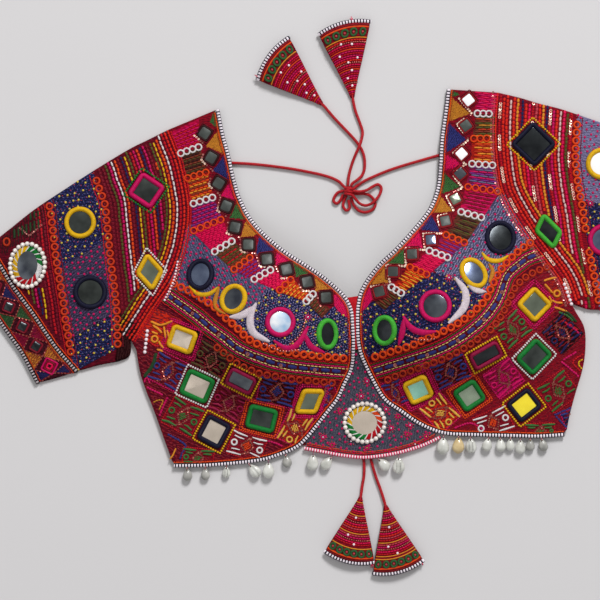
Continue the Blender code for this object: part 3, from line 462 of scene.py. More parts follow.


# each mirror's painted reflection: light and dark tone, then metal, roughness and coat where they differ; bright
# is a painted glare
mirrorReflections = {
    "grey": ((96, 102, 98), (58, 62, 60)), "neck": ((74, 80, 76), (50, 54, 52), 0.2, 0.44, 0.0),
    "dusk": ((120, 126, 132), (70, 74, 84)), "beige": ((226, 210, 194), (206, 192, 176), 0.6),
    "dark": ((66, 70, 72), (36, 38, 42)), "sky": ((252, 254, 255), (140, 184, 224), 0.3),
    "sage": ((150, 160, 140), (118, 126, 110)), "fern": ((180, 196, 170), (150, 166, 142), 0.75),
    "mint": ((176, 240, 218), (146, 214, 190), 0.25), "lemon": ((255, 236, 56), (240, 214, 40), 0.15),
    "blue": ((130, 142, 168), (76, 86, 116)), "bright": ((255, 255, 255), (250, 250, 252), 0.05)}
for name, row in mirrorReflections.items():
    finishes["mirror_" + name] = mirrorFinish(name, *row)


def plainFinish(name, light, dark, rough, scale=300, metal=0.0, coat=0.0, bump=0.0):
    f = Finish(name, Metallic=metal, Coat_Weight=coat, Coat_Roughness=0.08)
    f.colour(f.mixed(f.clamped(f.noise(scale, 3) * 2 - 0.5), paint(*dark), paint(*light)))
    f.rough(f.noise(scale * 2, 2) * 0.15 + rough)
    if bump:
        f.bump(f.noise(scale * 2, 2), bump, 0.5)
    return f.material


# light, dark, roughness, how fine the clouding is, metal, coat and relief
plainFinishes = {
    "pearl": ((246, 240, 232), (214, 204, 200), 0.12, 200, 0.0, 0.6),
    "sequin": ((224, 150, 140), (150, 70, 70), 0.2, 500, 0.9),
    "sequinDull": ((196, 110, 96), (110, 52, 48), 0.25, 500, 0.8),
    "sequinPink": ((255, 236, 216), (238, 184, 156), 0.25, 500, 0.25),
    "sequinGold": ((236, 196, 110), (180, 120, 60), 0.2, 500, 0.9),
    "beadWhite": ((244, 232, 236), (220, 196, 206), 0.25, 500, 0.0, 0.3),
    "cowrie": ((226, 226, 220), (168, 168, 160), 0.25, 110, 0.0, 0.35, 0.0002),
    # a darker copy of the shell's white: painted shade
    "cowriePaintedShade": ((176, 174, 168), (120, 120, 116), 0.3, 160, 0.0, 0.3),
    "cowrieWarm": ((220, 198, 150), (176, 150, 104), 0.25, 110, 0.0, 0.35, 0.0002),
    # the dark of a shell's slit and thread hole: painted shade
    "cowrieOpeningShade": ((110, 92, 66), (60, 48, 34), 0.5, 300)}
for name, row in plainFinishes.items():
    finishes[name] = plainFinish(name, *row)
print("finishes made:", len(finishes))

# meshes: what belongs together is gathered, with its finishes, and built as one

toneNames = []


def toneNumber(tone):
    if tone not in toneNames:
        toneNames.append(tone)
    return toneNames.index(tone)


def netFaces(index):
    # faces between the neighbours of one net of points, or of many
    a, b = index[..., :-1, :-1], index[..., :-1, 1:]
    c, d = index[..., 1:, 1:], index[..., 1:, :-1]
    return np.stack([a, d, c, b], -1).reshape(-1, 4)


def ringFaces(rows, sides, closed=False):
    # faces between rings of points that follow each other
    index = np.arange(rows * sides).reshape(rows, sides)
    index = np.hstack([index, index[:, :1]])
    if closed:
        index = np.vstack([index, index[:1]])
    return netFaces(index)[:, [0, 3, 2, 1]]


def fan(first, sides, middle):
    k = np.arange(sides)
    return np.stack([first + k, first + (k + 1) % sides, np.full(sides, middle)], 1)


def tubeFaces(rows, sides, over=False):
    # a tube with a middle point at each end, after its rings; over turns the faces round
    count = rows * sides
    quads = ringFaces(rows, sides)
    caps = np.concatenate([fan(0, sides, count)[:, [1, 0, 2]], fan(count - sides, sides, count + 1)])
    return (quads[:, [0, 3, 2, 1]], caps[:, [1, 0, 2]]) if over else (quads, caps)


def carried(line, up):
    # unit vectors along a line in space, across it and above it
    run = np.gradient(line, axis=0)
    run /= np.linalg.norm(run, axis=1)[:, None]
    across = np.cross(run, np.broadcast_to(up, run.shape))
    across /= np.linalg.norm(across, axis=1)[:, None]
    return run, across, np.cross(across, run)


def sections(line, across, above, wide, tall):
    # a ring of points round each point of a line
    points = line[:, None] + across[:, None] * wide[..., None] + above[:, None] * tall[..., None]
    return points.reshape(-1, 3)


def turnOut(mesh):
    # faces of a closed mesh turned outwards
    corners = np.zeros(len(mesh.vertices) * 3)
    mesh.vertices.foreach_get("co", corners)
    mesh.calc_loop_triangles()
    triples = np.zeros(len(mesh.loop_triangles) * 3, int)
    mesh.loop_triangles.foreach_get("vertices", triples)
    a, b, c = corners.reshape(-1, 3)[triples.reshape(-1, 3).T]
    if (a * np.cross(b, c)).sum() < 0:
        mesh.flip_normals()


class Parts:
    # points in millimetres, with the faces laid on them, by number of sides
    def __init__(self):
        self.points, self.grains, self.first, self.count = [], [], 0, 0
        self.faces, self.tones = {3: [], 4: []}, {3: [], 4: []}

    def add(self, points, grain, tone, *groups):
        self.points.append(points)
        self.grains.append(grain)
        self.first, self.count = self.count, self.count + len(points)
        self.lay(tone, *groups)

    def lay(self, tone, *groups):
        # groups of faces on the points added last, in one tone, or with a tone's number for each face
        number = toneNumber(tone) if isinstance(tone, str) else tone
        for faces in groups:
            sides = faces.shape[1]
            self.faces[sides].append(faces + self.first)
            self.tones[sides].append(np.broadcast_to(number, len(faces)))

    def tube(self, line, radii, tone, sides, grain=None):
        # a short tube; radii is one number, or how wide and how high it is
        _, across, above = carried(line, (0.01, 0.02, 1.0))
        wide, tall = np.broadcast_to(radii, 2)
        out = circle(sides)
        points = np.vstack([sections(line, across, above, wide * out[:, 0], tall * out[:, 1]), line[0], line[-1]])
        self.add(points, points[:, :2] if grain is None else grain, tone, *tubeFaces(len(line), sides))

    def ball(self, centre, radii, tone, sides=10, rings=6):
        polar = math.pi * np.arange(1, rings) / rings
        points = [np.column_stack([circle(sides) * math.sin(a), np.full(sides, math.cos(a))]) for a in polar]
        points = np.vstack(points + [(0, 0, 1), (0, 0, -1)]) * radii + centre
        self.add(points, points[:, :2], tone, *tubeFaces(rings - 1, sides, True))

    def metres(self):
        return np.concatenate(self.points) * mm

    def build(self, name, outward=False):
        lists, numbers = [], []
        for sides in (3, 4):
            if self.faces[sides]:
                lists += np.concatenate(self.faces[sides]).tolist()
                numbers += np.concatenate(self.tones[sides]).tolist()
        mesh = bpy.data.meshes.new(name)
        mesh.from_pydata(self.metres().tolist(), [], lists)
        used = sorted(set(numbers))
        for number in used:
            mesh.materials.append(finishes[toneNames[number]])
        mesh.polygons.foreach_set("material_index", [used.index(n) for n in numbers])
        mesh.shade_smooth()
        # along and across each thread, for its finish
        grain = np.concatenate(self.grains)
        layer = mesh.attributes.new("grain", "FLOAT_VECTOR", "POINT")
        layer.data.foreach_set("vector", np.column_stack([grain, np.zeros(len(grain))]).astype(np.float32).ravel())
        made = bpy.data.objects.new(name, mesh)
        bpy.context.scene.collection.objects.link(made)
        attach(made, "root")
        if outward:
            turnOut(mesh)
        return made


# sections of thread, as shares of half its width and of its height
halfRound = np.array([(-1, -0.12), (-0.72, 0.62), (0, 1.0), (0.72, 0.62), (1, -0.12)])
lowRound = np.array([(-1, -0.12), (-0.5, 0.86), (0.5, 0.86), (1, -0.12)])
domeLevels = np.array([(1.0, -0.1), (0.82, 0.62), (0.45, 0.93)])


class Heap(Parts):
    # small sewn things: points are plan x, y and height over the cloth
    def __init__(self, height, within, taken=()):
        super().__init__()
        self.height, self.within, self.taken = height, within, taken

    def metres(self):
        return placed(np.concatenate(self.points), self.height)

    def keep(self, spots):
        # which spots lie on this cloth and clear of the framed mirrors
        clear = inside(spots, self.within)
        for loop in self.taken:
            clear &= ~inside(spots, loop)
        return clear

    def scatter(self, loop, pitch, turn=0.0, jitter=0.12):
        # staggered spots that fill a loop
        centre = (loop.min(0) + loop.max(0)) / 2
        reach = np.linalg.norm(loop.max(0) - loop.min(0)) / 2
        u = np.arange(-reach, reach, pitch)
        across, along = np.meshgrid(u, u * 0.87)
        across[::2] += pitch / 2
        spots = turned(np.stack([across.ravel(), along.ravel()], 1), turn) + centre
        spots = spots + chance.normal(0, jitter * pitch, spots.shape)
        spots = spots[inside(spots, loop)]
        return spots[self.keep(spots)]

    def sew(self, line, tone, long=2.4, space=0.2, width=1.8, high=0.9, start=0.0, lift=0.0):
        # running or chain stitches along a line, where it is clear
        whole = lengthOf(line)
        starts = np.arange(start, whole - long * 0.8, long + space)
        places = np.minimum(starts[:, None] + np.linspace(0, long, 3), whole)
        paths = atPlaces(line, places.ravel()).reshape(len(starts), 3, 2)
        paths = paths + chance.normal(0, 0.13, (len(paths), 1, 2))
        clear = self.keep(paths[:, 0]) & self.keep(paths[:, 2])
        self.strokes(paths[clear], width, high, tone, (0.6, 1, 0.6), lift)

    def seeds(self, loop, tone, pitch, long, turn, spread=0.2, width=1.1, high=0.45):
        # short stitches all over a loop
        spots = self.scatter(loop, pitch, turn)
        angle = math.radians(turn) + chance.normal(0, spread, len(spots))
        run = np.stack([np.cos(angle), np.sin(angle)], 1) * long / 2
        clear = self.keep(spots - run) & self.keep(spots + run)
        paths = np.stack([spots - run, spots, spots + run], 1)[clear]
        self.strokes(paths, width, high, tone, (0.6, 1, 0.6))

    def net(self, xy, high, grain, tone, over=False):
        points = np.concatenate([xy, high[..., None]], -1).reshape(-1, 3)
        faces = netFaces(np.arange(high.size).reshape(high.shape))
        self.add(points, grain.reshape(-1, 2), tone, faces[:, ::-1] if over else faces)

    def strokes(self, paths, width, high, tone, taper=(0.45, 1, 1, 0.45), lift=0.0):
        # paths: strokes x stations x 2; each becomes a little mound of thread
        paths = np.asarray(paths, float)
        count, stations = paths.shape[:2]
        run = np.gradient(paths, axis=1)
        run /= np.maximum(np.linalg.norm(run, axis=2), 1e-9)[..., None]
        side = np.stack([-run[..., 1], run[..., 0]], -1)
        taper = np.interp(np.linspace(0, 1, stations), np.linspace(0, 1, len(taper)), taper)
        across = lowRound[:, 0] * (width * taper)[:, None] / 2
        xy = paths[:, :, None] + side[:, :, None] * across[..., None]
        rise = lift + lowRound[:, 1] * (high * (0.35 + 0.65 * taper))[:, None]
        along = np.linalg.norm(np.diff(paths, axis=1), axis=2).cumsum(1)
        # each stroke starts at another place of its thread
        along = np.concatenate([np.zeros((count, 1)), along], 1) + chance.random((count, 1)) * 9
        grain = np.stack(np.broadcast_arrays(along[..., None], across), -1)
        self.net(xy, np.broadcast_to(rise, xy.shape[:3]), grain, tone)

    def rings(self, spots, across, down, tube, high, tone, sides=13):
        # small worked rings lying on the cloth
        spots = np.asarray(spots, float)
        for way in ((1, 0), (-1, 0), (0, 1), (0, -1)):
            spots = spots[self.keep(spots + np.array(way) * (max(across, down) + tube))]
        angle = np.linspace(0, math.tau, sides)
        out = np.stack([np.cos(angle), np.sin(angle)], 1)
        off = halfRound[:, 0] * tube
        xy = spots[:, None, None] + out[:, None] * np.stack([across + off, down + off], 1)
        grain = np.stack(np.broadcast_arrays(off, (angle * (across + down) / 2)[:, None]), -1)
        rise = np.broadcast_to(halfRound[:, 1] * high, xy.shape[:3])
        self.net(xy, rise, np.broadcast_to(grain, xy.shape), tone, True)

    def alike(self, spots, local, rise, tilt, tone, *groups):
        # the same small thing at each clear spot, every one leaning its own way
        spots = np.asarray(spots, float)
        spots = spots[self.keep(spots)]
        lean = chance.normal(0, 1, (len(spots), 2)) * tilt
        high = rise + (local * lean[:, None]).sum(2)
        xy = spots[:, None] + local
        start = (np.arange(len(spots)) * len(local))[:, None, None]
        self.add(np.concatenate([xy, high[..., None]], -1).reshape(-1, 3),
                 np.broadcast_to(local, xy.shape).reshape(-1, 2), tone,
                 *[(faces + start).reshape(-1, faces.shape[1]) for faces in groups])

    def domes(self, spots, radius, high, tone, sides=8, lift=0.0, tilt=0.0):
        # knots, beads and pearls: a low dome each
        rings = (circle(sides) * domeLevels[:, 0, None, None] * radius).reshape(-1, 2)
        rise = np.append(np.repeat(domeLevels[:, 1], sides), 1.0) * high
        self.alike(spots, np.vstack([rings, (0, 0)]), lift + rise, tilt, tone,
                   ringFaces(3, sides), fan(2 * sides, sides, 3 * sides))

    def washers(self, spots, radius, tone, lift=0.4, hole=0.28, tilt=0.12, sides=8):
        # flat sequins with a hole that sinks a little
        local = np.vstack([circle(sides) * radius, circle(sides) * radius * hole])
        self.alike(spots, local, lift - np.repeat([0, 0.12], sides), tilt, tone, ringFaces(2, sides))

    def roll(self, line, width, high, tone, closed=False, uneven=0.0, satin=False):
        # a thick worked line or rim; satin threads run across it
        side = sideways(line, closed)
        if closed:
            line, side = closedLine(line), closedLine(side)
        t = np.linspace(0, math.pi, 8)
        section = np.stack([-np.cos(t), np.sin(t)], 1)
        section[[0, -1], 1] = -0.15
        swell = 1 + uneven * chance.normal(0, 1, len(line))
        if closed:
            swell[-1] = swell[0]
        wide = np.broadcast_to(width, len(line)) / 2
        off = section[:, 0] * (wide * (1 + (swell - 1) * 0.4))[:, None]
        xy = line[:, None] + side[:, None] * off[..., None]
        grain = np.broadcast_arrays(distances(line)[:, None], t * np.mean(wide))
        self.net(xy, section[:, 1] * (high * swell)[:, None], np.stack(grain[::-1] if satin else grain, -1), tone)

    def plate(self, loop, high, tone, bevel=0.0625, ground=0.15):
        # a flat piece of mirror with a ground edge, lying on the cloth
        centre, count = loop.mean(0), len(loop)
        xy = np.concatenate([centre + (loop - centre) * size for size in (1.0, 1.0, 1 - bevel)] + [centre[None]])
        rise = np.append(np.repeat([0.0, high, high + ground], count), high + ground)
        self.add(np.column_stack([xy, rise]), xy, tone, ringFaces(3, count), fan(2 * count, count, 3 * count))


# cloth cut to an outline, with its embroidered fields marked on it

def cutCloth(outline, fields, step, extra=()):
    # triangles of the outline whose edges follow the fields' own outlines
    outline = np.asarray(outline)
    points = [tuple(p) for p in outline]
    edges = [(i, (i + 1) % len(outline)) for i in range(len(outline))]
    for loop, _ in fields:
        first = len(points)
        points += [tuple(p) for p in loop]
        edges += [(first + i, first + (i + 1) % len(loop)) for i in range(len(loop))]
    low, high = outline.min(0), outline.max(0)
    grid = []
    rows = int((high[1] - low[1]) / (step * 0.87)) + 1
    for j in range(rows):
        y = low[1] + (j + 0.4) * step * 0.87
        for i in range(int((high[0] - low[0]) / step) + 1):
            grid.append((low[0] + (i + 0.5 * (j % 2) + 0.13) * step, y))
    grid = np.array(grid)
    grid = grid[inside(grid, outline) & (toLine(grid, closedLine(outline)) > step * 0.4)]
    for loop, _ in fields:
        grid = grid[toLine(grid, closedLine(loop)) > step * 0.3]
    points += [tuple(p) for p in grid] + [tuple(p) for p in extra]
    coords, _, faces, _, _, _ = delaunay_2d_cdt([Vector(p) for p in points], edges, [], 1, 1e-4)
    xy, faces = np.array([tuple(p) for p in coords]), np.array(faces)
    faces = faces[inside(xy[faces].mean(1), outline)]
    a, b, c = xy[faces.T]
    turn = (b[:, 0] - a[:, 0]) * (c[:, 1] - a[:, 1]) - (b[:, 1] - a[:, 1]) * (c[:, 0] - a[:, 0])
    faces = np.where((turn < 0)[:, None], faces[:, ::-1], faces)[np.abs(turn) > 1e-7]
    used, faces = np.unique(faces, return_inverse=True)
    return xy[used], faces.reshape(-1, 3)


def borderEdges(faces):
    # edges with one face only, in that face's direction
    edges = np.concatenate([faces[:, [0, 1]], faces[:, [1, 2]], faces[:, [2, 0]]])
    keys = np.sort(edges, 1)
    _, index, counts = np.unique(keys, axis=0, return_index=True, return_counts=True)
    return edges[index[counts == 1]]


def clothShell(name, outline, ground, fields, height, under, underTone="liningCloth", step=3.6, extra=()):
    # a thin closed wall: embroidered outside, plain inside
    xy, faces = cutCloth(outline, fields, step, extra)
    numbers = np.full(len(faces), toneNumber(ground))
    for loop, tone in fields:
        numbers[inside(xy[faces].mean(1), loop)] = toneNumber(tone)
    top = height(xy)
    rim = borderEdges(faces)
    count = len(xy)
    shell = Parts()
    shell.add(np.vstack([np.column_stack([xy, top]), np.column_stack([xy, under(xy, top)])]),
              np.vstack([xy, xy]), numbers, faces)
    shell.lay(underTone, faces[:, ::-1] + count,
              np.stack([rim[:, 0], count + rim[:, 0], count + rim[:, 1], rim[:, 1]], 1))
    made = shell.build(name, True)
    made.data.set_sharp_from_angle(angle=math.radians(50))
    return made


def wallUnder(height, floor=None):
    # inner side of a wall that keeps its thickness on a slope
    def under(xy, top):
        run = 0.5
        slopeX = (height(xy + (run, 0)) - height(xy - (run, 0))) / (2 * run)
        slopeY = (height(xy + (0, run)) - height(xy - (0, run))) / (2 * run)
        low = top - clothForm["wall"] * np.sqrt(1 + slopeX ** 2 + slopeY ** 2)
        return low if floor is None else np.maximum(low, floor)
    return under


# camera, floor and light

studio = {
    "eye": (-0.048, -0.017, 3.0), "lens": 180.0, "floor": (208, 206, 207), "fill": 0.45, "key": 330.0,
    "keyAt": (1.5, 4.3, 4.0), "keySize": 1.8, "side": 3.0, "sideAt": (-1.6, -0.6, 1.6), "sideSize": 1.6,
    "reach": 6.0, "under": 0.0006}


def makeStudio():
    scene = bpy.context.scene
    camera = bpy.data.objects.new("camera", bpy.data.cameras.new("camera"))
    camera.location = studio["eye"]
    camera.data.lens = studio["lens"]
    camera.data.sensor_width = 36.0
    camera.data.clip_end = 20.0
    scene.collection.objects.link(camera)
    scene.camera = camera
    for name in ("key", "side"):
        lamp = bpy.data.lights.new(name, "AREA")
        lamp.energy = studio[name]
        lamp.shape = "DISK"
        lamp.size = studio[name + "Size"]
        made = bpy.data.objects.new(name, lamp)
        made.location = studio[name + "At"]
        made.rotation_mode = "QUATERNION"
        made.rotation_quaternion = (-made.location).to_track_quat("-Z", "Y")
        scene.collection.objects.link(made)
    world = bpy.data.worlds.new("studio")
    world.use_nodes = True
    light = world.node_tree.nodes["Background"].inputs
    light["Color"].default_value, light["Strength"].default_value = (1.0, 1.0, 1.0, 1.0), studio["fill"]
    scene.world = world
    scene.view_settings.view_transform = "Standard"
    table = Finish("floor", Roughness=0.9, Specular_IOR_Level=0.1)
    pale = paint(*studio["floor"])
    table.colour(table.mixed(table.noise(3, 2), pale, shade(pale, 0.99)))
    mesh = bpy.data.meshes.new("floor")
    r, z = studio["reach"], -studio["under"]
    mesh.from_pydata([(-r, -r, z), (r, -r, z), (r, r, z), (-r, r, z)], [], [(0, 1, 2, 3)])
    mesh.materials.append(table.material)
    floor = bpy.data.objects.new("floor", mesh)
    scene.collection.objects.link(floor)


makeStudio()
print("studio made")

# ties: routes of the cords' centres as in the solids

cordForm = {"radius": 1.5, "twist": (3, 7.0, 0.09), "step": 0.9, "sides": 15, "nose": 0.4}
tieRoutes = {
    "tie_left": [(-123.2, 120.2, 1.6), (-116, 120, 1.6), (-98, 119, 1.55), (-78, 117, 1.55),
        (-55, 113.8, 1.55), (-38, 110.6, 1.55), (-27, 108.2, 1.55), (-17, 105.2, 1.55), (-9.5, 101.6, 1.8),
        (-6.0, 98.2, 2.4), (-3.5, 95.7, 3.0)],
    "tie_right": [(97.9, 128.4, 1.6), (92, 127.8, 1.6), (74, 122.8, 1.55), (52, 116.3, 1.55),
        (36.6, 110.9, 1.55), (19.4, 103.4, 1.55), (11.5, 98.8, 1.6), (7.0, 95.4, 1.9), (4.8, 93.8, 2.5)],
    "tie_tail_left": [(2.8, 97.1, 4.8), (4.8, 99.8, 4.7), (9.0, 102.8, 4.0), (13.8, 107.4, 2.0),
        (16.4, 114.3, 1.55), (16.4, 124, 1.55), (14.2, 132, 1.55), (10.6, 138, 1.55), (5.6, 144.4, 1.55),
        (-3, 153.5, 1.55), (-13, 164, 1.6), (-20.5, 172.6, 1.9), (-25.5, 178.25, 2.0)],
    "tie_tail_right": [(-0.2, 97.4, 2.2), (1.0, 108, 1.55), (4.0, 119, 1.9), (7.6, 128.6, 3.8),
        (11.2, 136.6, 5.5), (13.6, 144, 4.0), (14.4, 151.5, 1.9), (11.4, 161, 1.55), (7.4, 172, 1.7),
        (4.75, 184.5, 2.0)],
    "tie_loop_1": [(4.1, 89.4, 2.1), (11, 89.2, 1.55), (17, 89.2, 1.55), (22.3, 87.0, 1.55),
        (26.2, 82.6, 1.55), (27.2, 77.6, 1.55), (24, 73, 1.55), (17.2, 70.6, 1.55), (10.4, 72.6, 1.55),
        (5.8, 78, 1.55), (2.7, 85.8, 2.2)],
    "tie_loop_2": [(5.0, 91.8, 5.5), (12, 91.2, 5.3), (18.6, 92.6, 5.2), (24.8, 96.4, 3.6), (30, 98.4, 1.9),
        (33.2, 95, 1.55), (32, 89.4, 2.9), (28.4, 83.8, 4.9), (23.6, 79.4, 4.7), (17.6, 77.4, 3.2),
        (11.8, 79.2, 3.9), (7.4, 83.8, 5.0), (3.7, 88.4, 5.6)],
    "tie_loop_3": [(-4.5, 92.0, 2.8), (-10.0, 90.4, 1.6), (-13.6, 86, 1.55), (-14.4, 81.8, 1.55),
        (-11.4, 79.4, 1.55), (-8.4, 81.8, 1.6), (-6.4, 85.2, 1.8), (-4.8, 88.4, 2.2)],
    "tie_loop_4": [(-1.6, 87.4, 2.7), (-4.2, 81.6, 1.6), (-4.8, 76.6, 1.55), (-2.0, 72.6, 1.55),
        (1.4, 74.4, 1.6), (1.2, 79.0, 1.7), (0.4, 83.0, 1.8)],
    "hem_tie_left": [(3.2, -158.6, 1.6), (9.0, -165.0, 1.6), (14.2, -172.5, 1.55), (16.0, -180, 1.55),
        (16.0, -192, 1.55), (14.2, -203, 1.6), (12.7, -213.5, 2.0)],
    "hem_tie_right": [(13.4, -157.9, 1.6), (18.4, -166, 1.6), (22.0, -173, 1.55), (23.8, -180, 1.55),
        (27.6, -193, 1.55), (33.0, -208, 1.6), (37.2, -222.15, 2.0)]}


def sweep(name, line, radii, tone, sides=12, twist=None, up=(0, 0, 1), ripple=None):
    # a cord along a route; radii is one number, or how wide and how high it is.
    # twist is its strands, their lay and relief, and ripple its wrapping's pitch and relief
    run, across, above = carried(line, up)
    wide, tall = np.broadcast_to(radii, 2)
    along, round1 = distances(line)[:, None], (wide + tall) / 2
    angle = np.linspace(0, math.tau, sides, endpoint=False)
    size, shift = np.ones((len(line), sides)), 0
    if twist:
        strands, lay, relief = twist
        size = 1 - relief + relief * np.abs(np.cos(0.5 * strands * (angle - along / lay * math.tau)))
        shift = along / lay * math.tau * round1
    if ripple:
        pitch, relief = ripple
        size = size * (1 + relief * np.cos(along / pitch * math.tau))
    nose = run[[0, -1]] * [[-cordForm["nose"]], [cordForm["nose"]]]
    points = sections(line, across, above, wide * size * np.cos(angle), tall * size * np.sin(angle))
    grain = np.stack(np.broadcast_arrays(along, angle * round1 - shift), -1).reshape(-1, 2)
    cord = Parts()
    cord.add(np.vstack([points, line[[0, -1]] + nose]), np.vstack([grain, np.zeros((2, 2))]), tone,
             *tubeFaces(len(line), sides))
    return cord.build(name, True)


# inside its tassel each tie runs on, sewn in: the place of its hidden end
sewnIn = {
    "tie_tail_left": (-45, 196.5, 2.7), "tie_tail_right": (1.6, 210.8, 2.7),
    "hem_tie_left": (8.2, -237.6, 2.7), "hem_tie_right": (42.3, -246.1, 2.7)}
tiePieces = {}
for name, route in tieRoutes.items():
    line = smooth(route + ([sewnIn[name]] if name in sewnIn else []), cordForm["step"])
    piece = sweep(name + "_cord", line, cordForm["radius"], "tieCord", cordForm["sides"], cordForm["twist"])
    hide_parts(name)
    tiePieces[name] = (piece, line)


# the bow's knot: cord wrapped round the strands, with one pass over the front
knotForm = {
    "at": (0.2, 92.4, 4.1), "turns": 2.8, "start": 0.6, "wide": 3.5, "deep": 2.4, "from": -4.1, "long": 7.7,
    "radius": 1.42, "overRadius": 1.4, "up": (0.2, 1, 0.1),
    "over": [(-2.6, -2.4, 0.2), (-1.8, -0.8, 2.2), (0.2, 0.9, 2.5), (2.0, 2.6, 1.4), (2.6, 3.4, -0.6)]}


def makeKnot():
    form = knotForm
    t = np.linspace(0, 1, 70)
    turn = t * math.tau * form["turns"] + form["start"]
    c, s = form["wide"] * np.cos(turn), form["deep"] * np.sin(turn)
    wrap = np.column_stack([c, form["from"] + form["long"] * t, s])
    over = smooth(form["over"], 0.6)
    twist = cordForm["twist"]
    return (sweep("tie_knot_wrap", form["at"] + wrap, form["radius"], "tieCord", 12, twist, form["up"]),
            sweep("tie_knot_over", form["at"] + over, form["overRadius"], "tieCord", 12, twist))


knotWrap, knotOver = makeKnot()
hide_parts("tie_knot")
print("ties made:", len(tiePieces))

# outlines of the cloth, as in the solids

cut = {
    "seamLeft": [(-130.5, 173), (-125.5, 148), (-119.5, 126), (-115, 105), (-109, 85), (-98, 64), (-83, 47),
        (-64, 31), (-43, 17.5), (-28, 7.5), (-15, -3), (-6, -11.5), (0, -20), (3.2, -29), (4.2, -42),
        (5, -62), (3.4, -84), (-4, -101), (-11, -116), (-21, -129), (-32, -143), (-42, -155), (-53, -164.5),
        (-74, -173), (-90, -177), (-116, -180), (-144, -182), (-174, -182.5)],
    "seamRight": [(100.5, 193.5), (98, 173), (94, 143), (92.5, 118), (90, 95), (82, 74), (67, 54.5),
        (48, 33.5), (33, 19.5), (22.5, 7), (15.5, -4), (11.5, -14), (9.4, -27), (9.2, -42), (9.8, -57),
        (12.5, -70), (18, -83), (27, -101), (37, -116.5), (53, -128), (69, -139), (86, -147), (101, -150.5),
        (124, -151.5), (162, -152.5), (191, -153), (216, -151.5)],
    "gussetHem": [(-44, -165), (-23, -169), (-3, -172.5), (19, -174), (48, -170), (71, -163.5), (84, -158),
        (92, -154)],
    "armLeft": [(-182, 152), (-176, 137), (-169, 118), (-162, 83), (-162, 58), (-167, 31), (-178, 3),
        (-196, -24), (-217, -57)],
    "armRight": [(151, 190), (149, 158), (150, 127), (155, 95), (165, 73), (178, 52), (198, 25), (214, 3),
        (223, -20)],
    "sideLeft": [(-211.5, -67), (-208, -88), (-202, -107), (-194, -127), (-184, -155), (-175, -180)],
    "sideRight": [(227, -28), (236, -45), (237, -67), (234, -87), (228, -107), (222, -129), (218, -149)],
    "backNeckLeft": [(-134, 172), (-129, 145), (-124, 120), (-118, 90), (-112, 60), (-100, 30), (-80, 0),
        (-55, -35), (-25, -75), (5, -105)],
    "backHemLeft": [(5, -157), (-30, -159), (-60, -166), (-110, -174), (-172, -177)],
    "backNeckRight": [(104, 193), (100.5, 160), (98.5, 128), (97, 95), (91, 60), (80, 30), (60, -2),
        (40, -40), (22, -78), (9, -105)],
    "backHemRight": [(9, -157), (40, -152), (80, -142), (120, -144), (215, -146)],
    "sleeveLeft": {
        "arm": "armLeft", "out": -1,
        "top": [(-182, 152), (-200, 143), (-220, 133), (-253, 113), (-284, 93), (-314, 73), (-338, 54),
            (-360, 37), (-385, 20)],
        "under": [(-217, -57), (-218, -72), (-228, -78), (-248, -82), (-271, -88.5), (-288, -94),
            (-310, -100)],
        "cuffSeam": [(-360, 37), (-348, 18), (-336.5, -1), (-325, -17), (-314, -32), (-302, -50), (-290, -67),
            (-271, -88.5)],
        "cuffEdge": [(-385, 20), (-365, -12), (-348, -38), (-336, -55), (-325, -71), (-310, -100)]},
    "sleeveRight": {
        "arm": "armRight", "out": 1,
        "top": [(151, 190), (172, 185), (192, 179), (212, 174), (242, 164), (280, 151), (318, 140),
            (351, 129), (384, 118)],
        "under": [(223, -20), (232, -24), (246, -27), (280, -25), (310, -21), (342, -17)],
        "cuffSeam": [(351, 129), (345, 104), (337, 74), (328, 41), (319, 9), (310, -21)],
        "cuffEdge": [(384, 118), (376, 88), (367, 58), (358, 30), (350, 4), (342, -17)]}}
fine = 2.5
seamLeft, seamRight = smooth(cut["seamLeft"], fine), smooth(cut["seamRight"], fine)
seams, hands = {"left": seamLeft, "right": seamRight}, {"left": -1, "right": 1}
gussetHem = smooth(cut["gussetHem"], fine)
half, gap = clothForm["seamHalf"], clothForm["gap"]


def frontOutline(side, inward):
    seam = seams[side.lower()]
    arm = moved(smooth(cut["arm" + side], fine), -inward * gap / 2)
    return np.vstack([moved(seam, inward * half), smooth(cut["side" + side], fine)[::-1][1:], arm[::-1]])


def backOutline(side, inward):
    arm = moved(smooth(cut["arm" + side], fine), -inward * gap / 2)
    return np.vstack([smooth(cut["backNeck" + side], fine), smooth(cut["backHem" + side], fine),
                      smooth(cut["side" + side], fine)[::-1][1:], arm[::-1]])


def yOn(line, x):
    order = np.argsort(line[:, 0])
    return np.interp(x, line[order, 0], line[order, 1])


def gussetOutline():
    # the gusset runs up under the fronts to here
    top = -68
    low, left, right = moved(gussetHem, half), moved(seamLeft, half), moved(seamRight, -half)
    left, right = (seam[(seam[:, 1] < top) & (seam[:, 1] > yOn(low, seam[:, 0]) + 1)] for seam in (left, right))
    left, right = left[left[:, 0] > low[0, 0] + 1], right[right[:, 0] < low[-1, 0] - 1]
    low = low[(low[:, 0] > left[-1, 0] + 1) & (low[:, 0] < right[-1, 0] - 1)]
    return np.vstack([left, low, right[::-1]])


def foldStretch(line, start, stop):
    # the stretch of a fold's line between the ends of two curves
    first = np.linalg.norm(line - start, axis=1)
    last = np.linalg.norm(line - stop, axis=1)
    middle = line[first.argmin():last.argmin() + 1]
    clear = (np.linalg.norm(middle - start, axis=1) > 2) & (np.linalg.norm(middle - stop, axis=1) > 2)
    return np.vstack([start, middle[clear], stop])


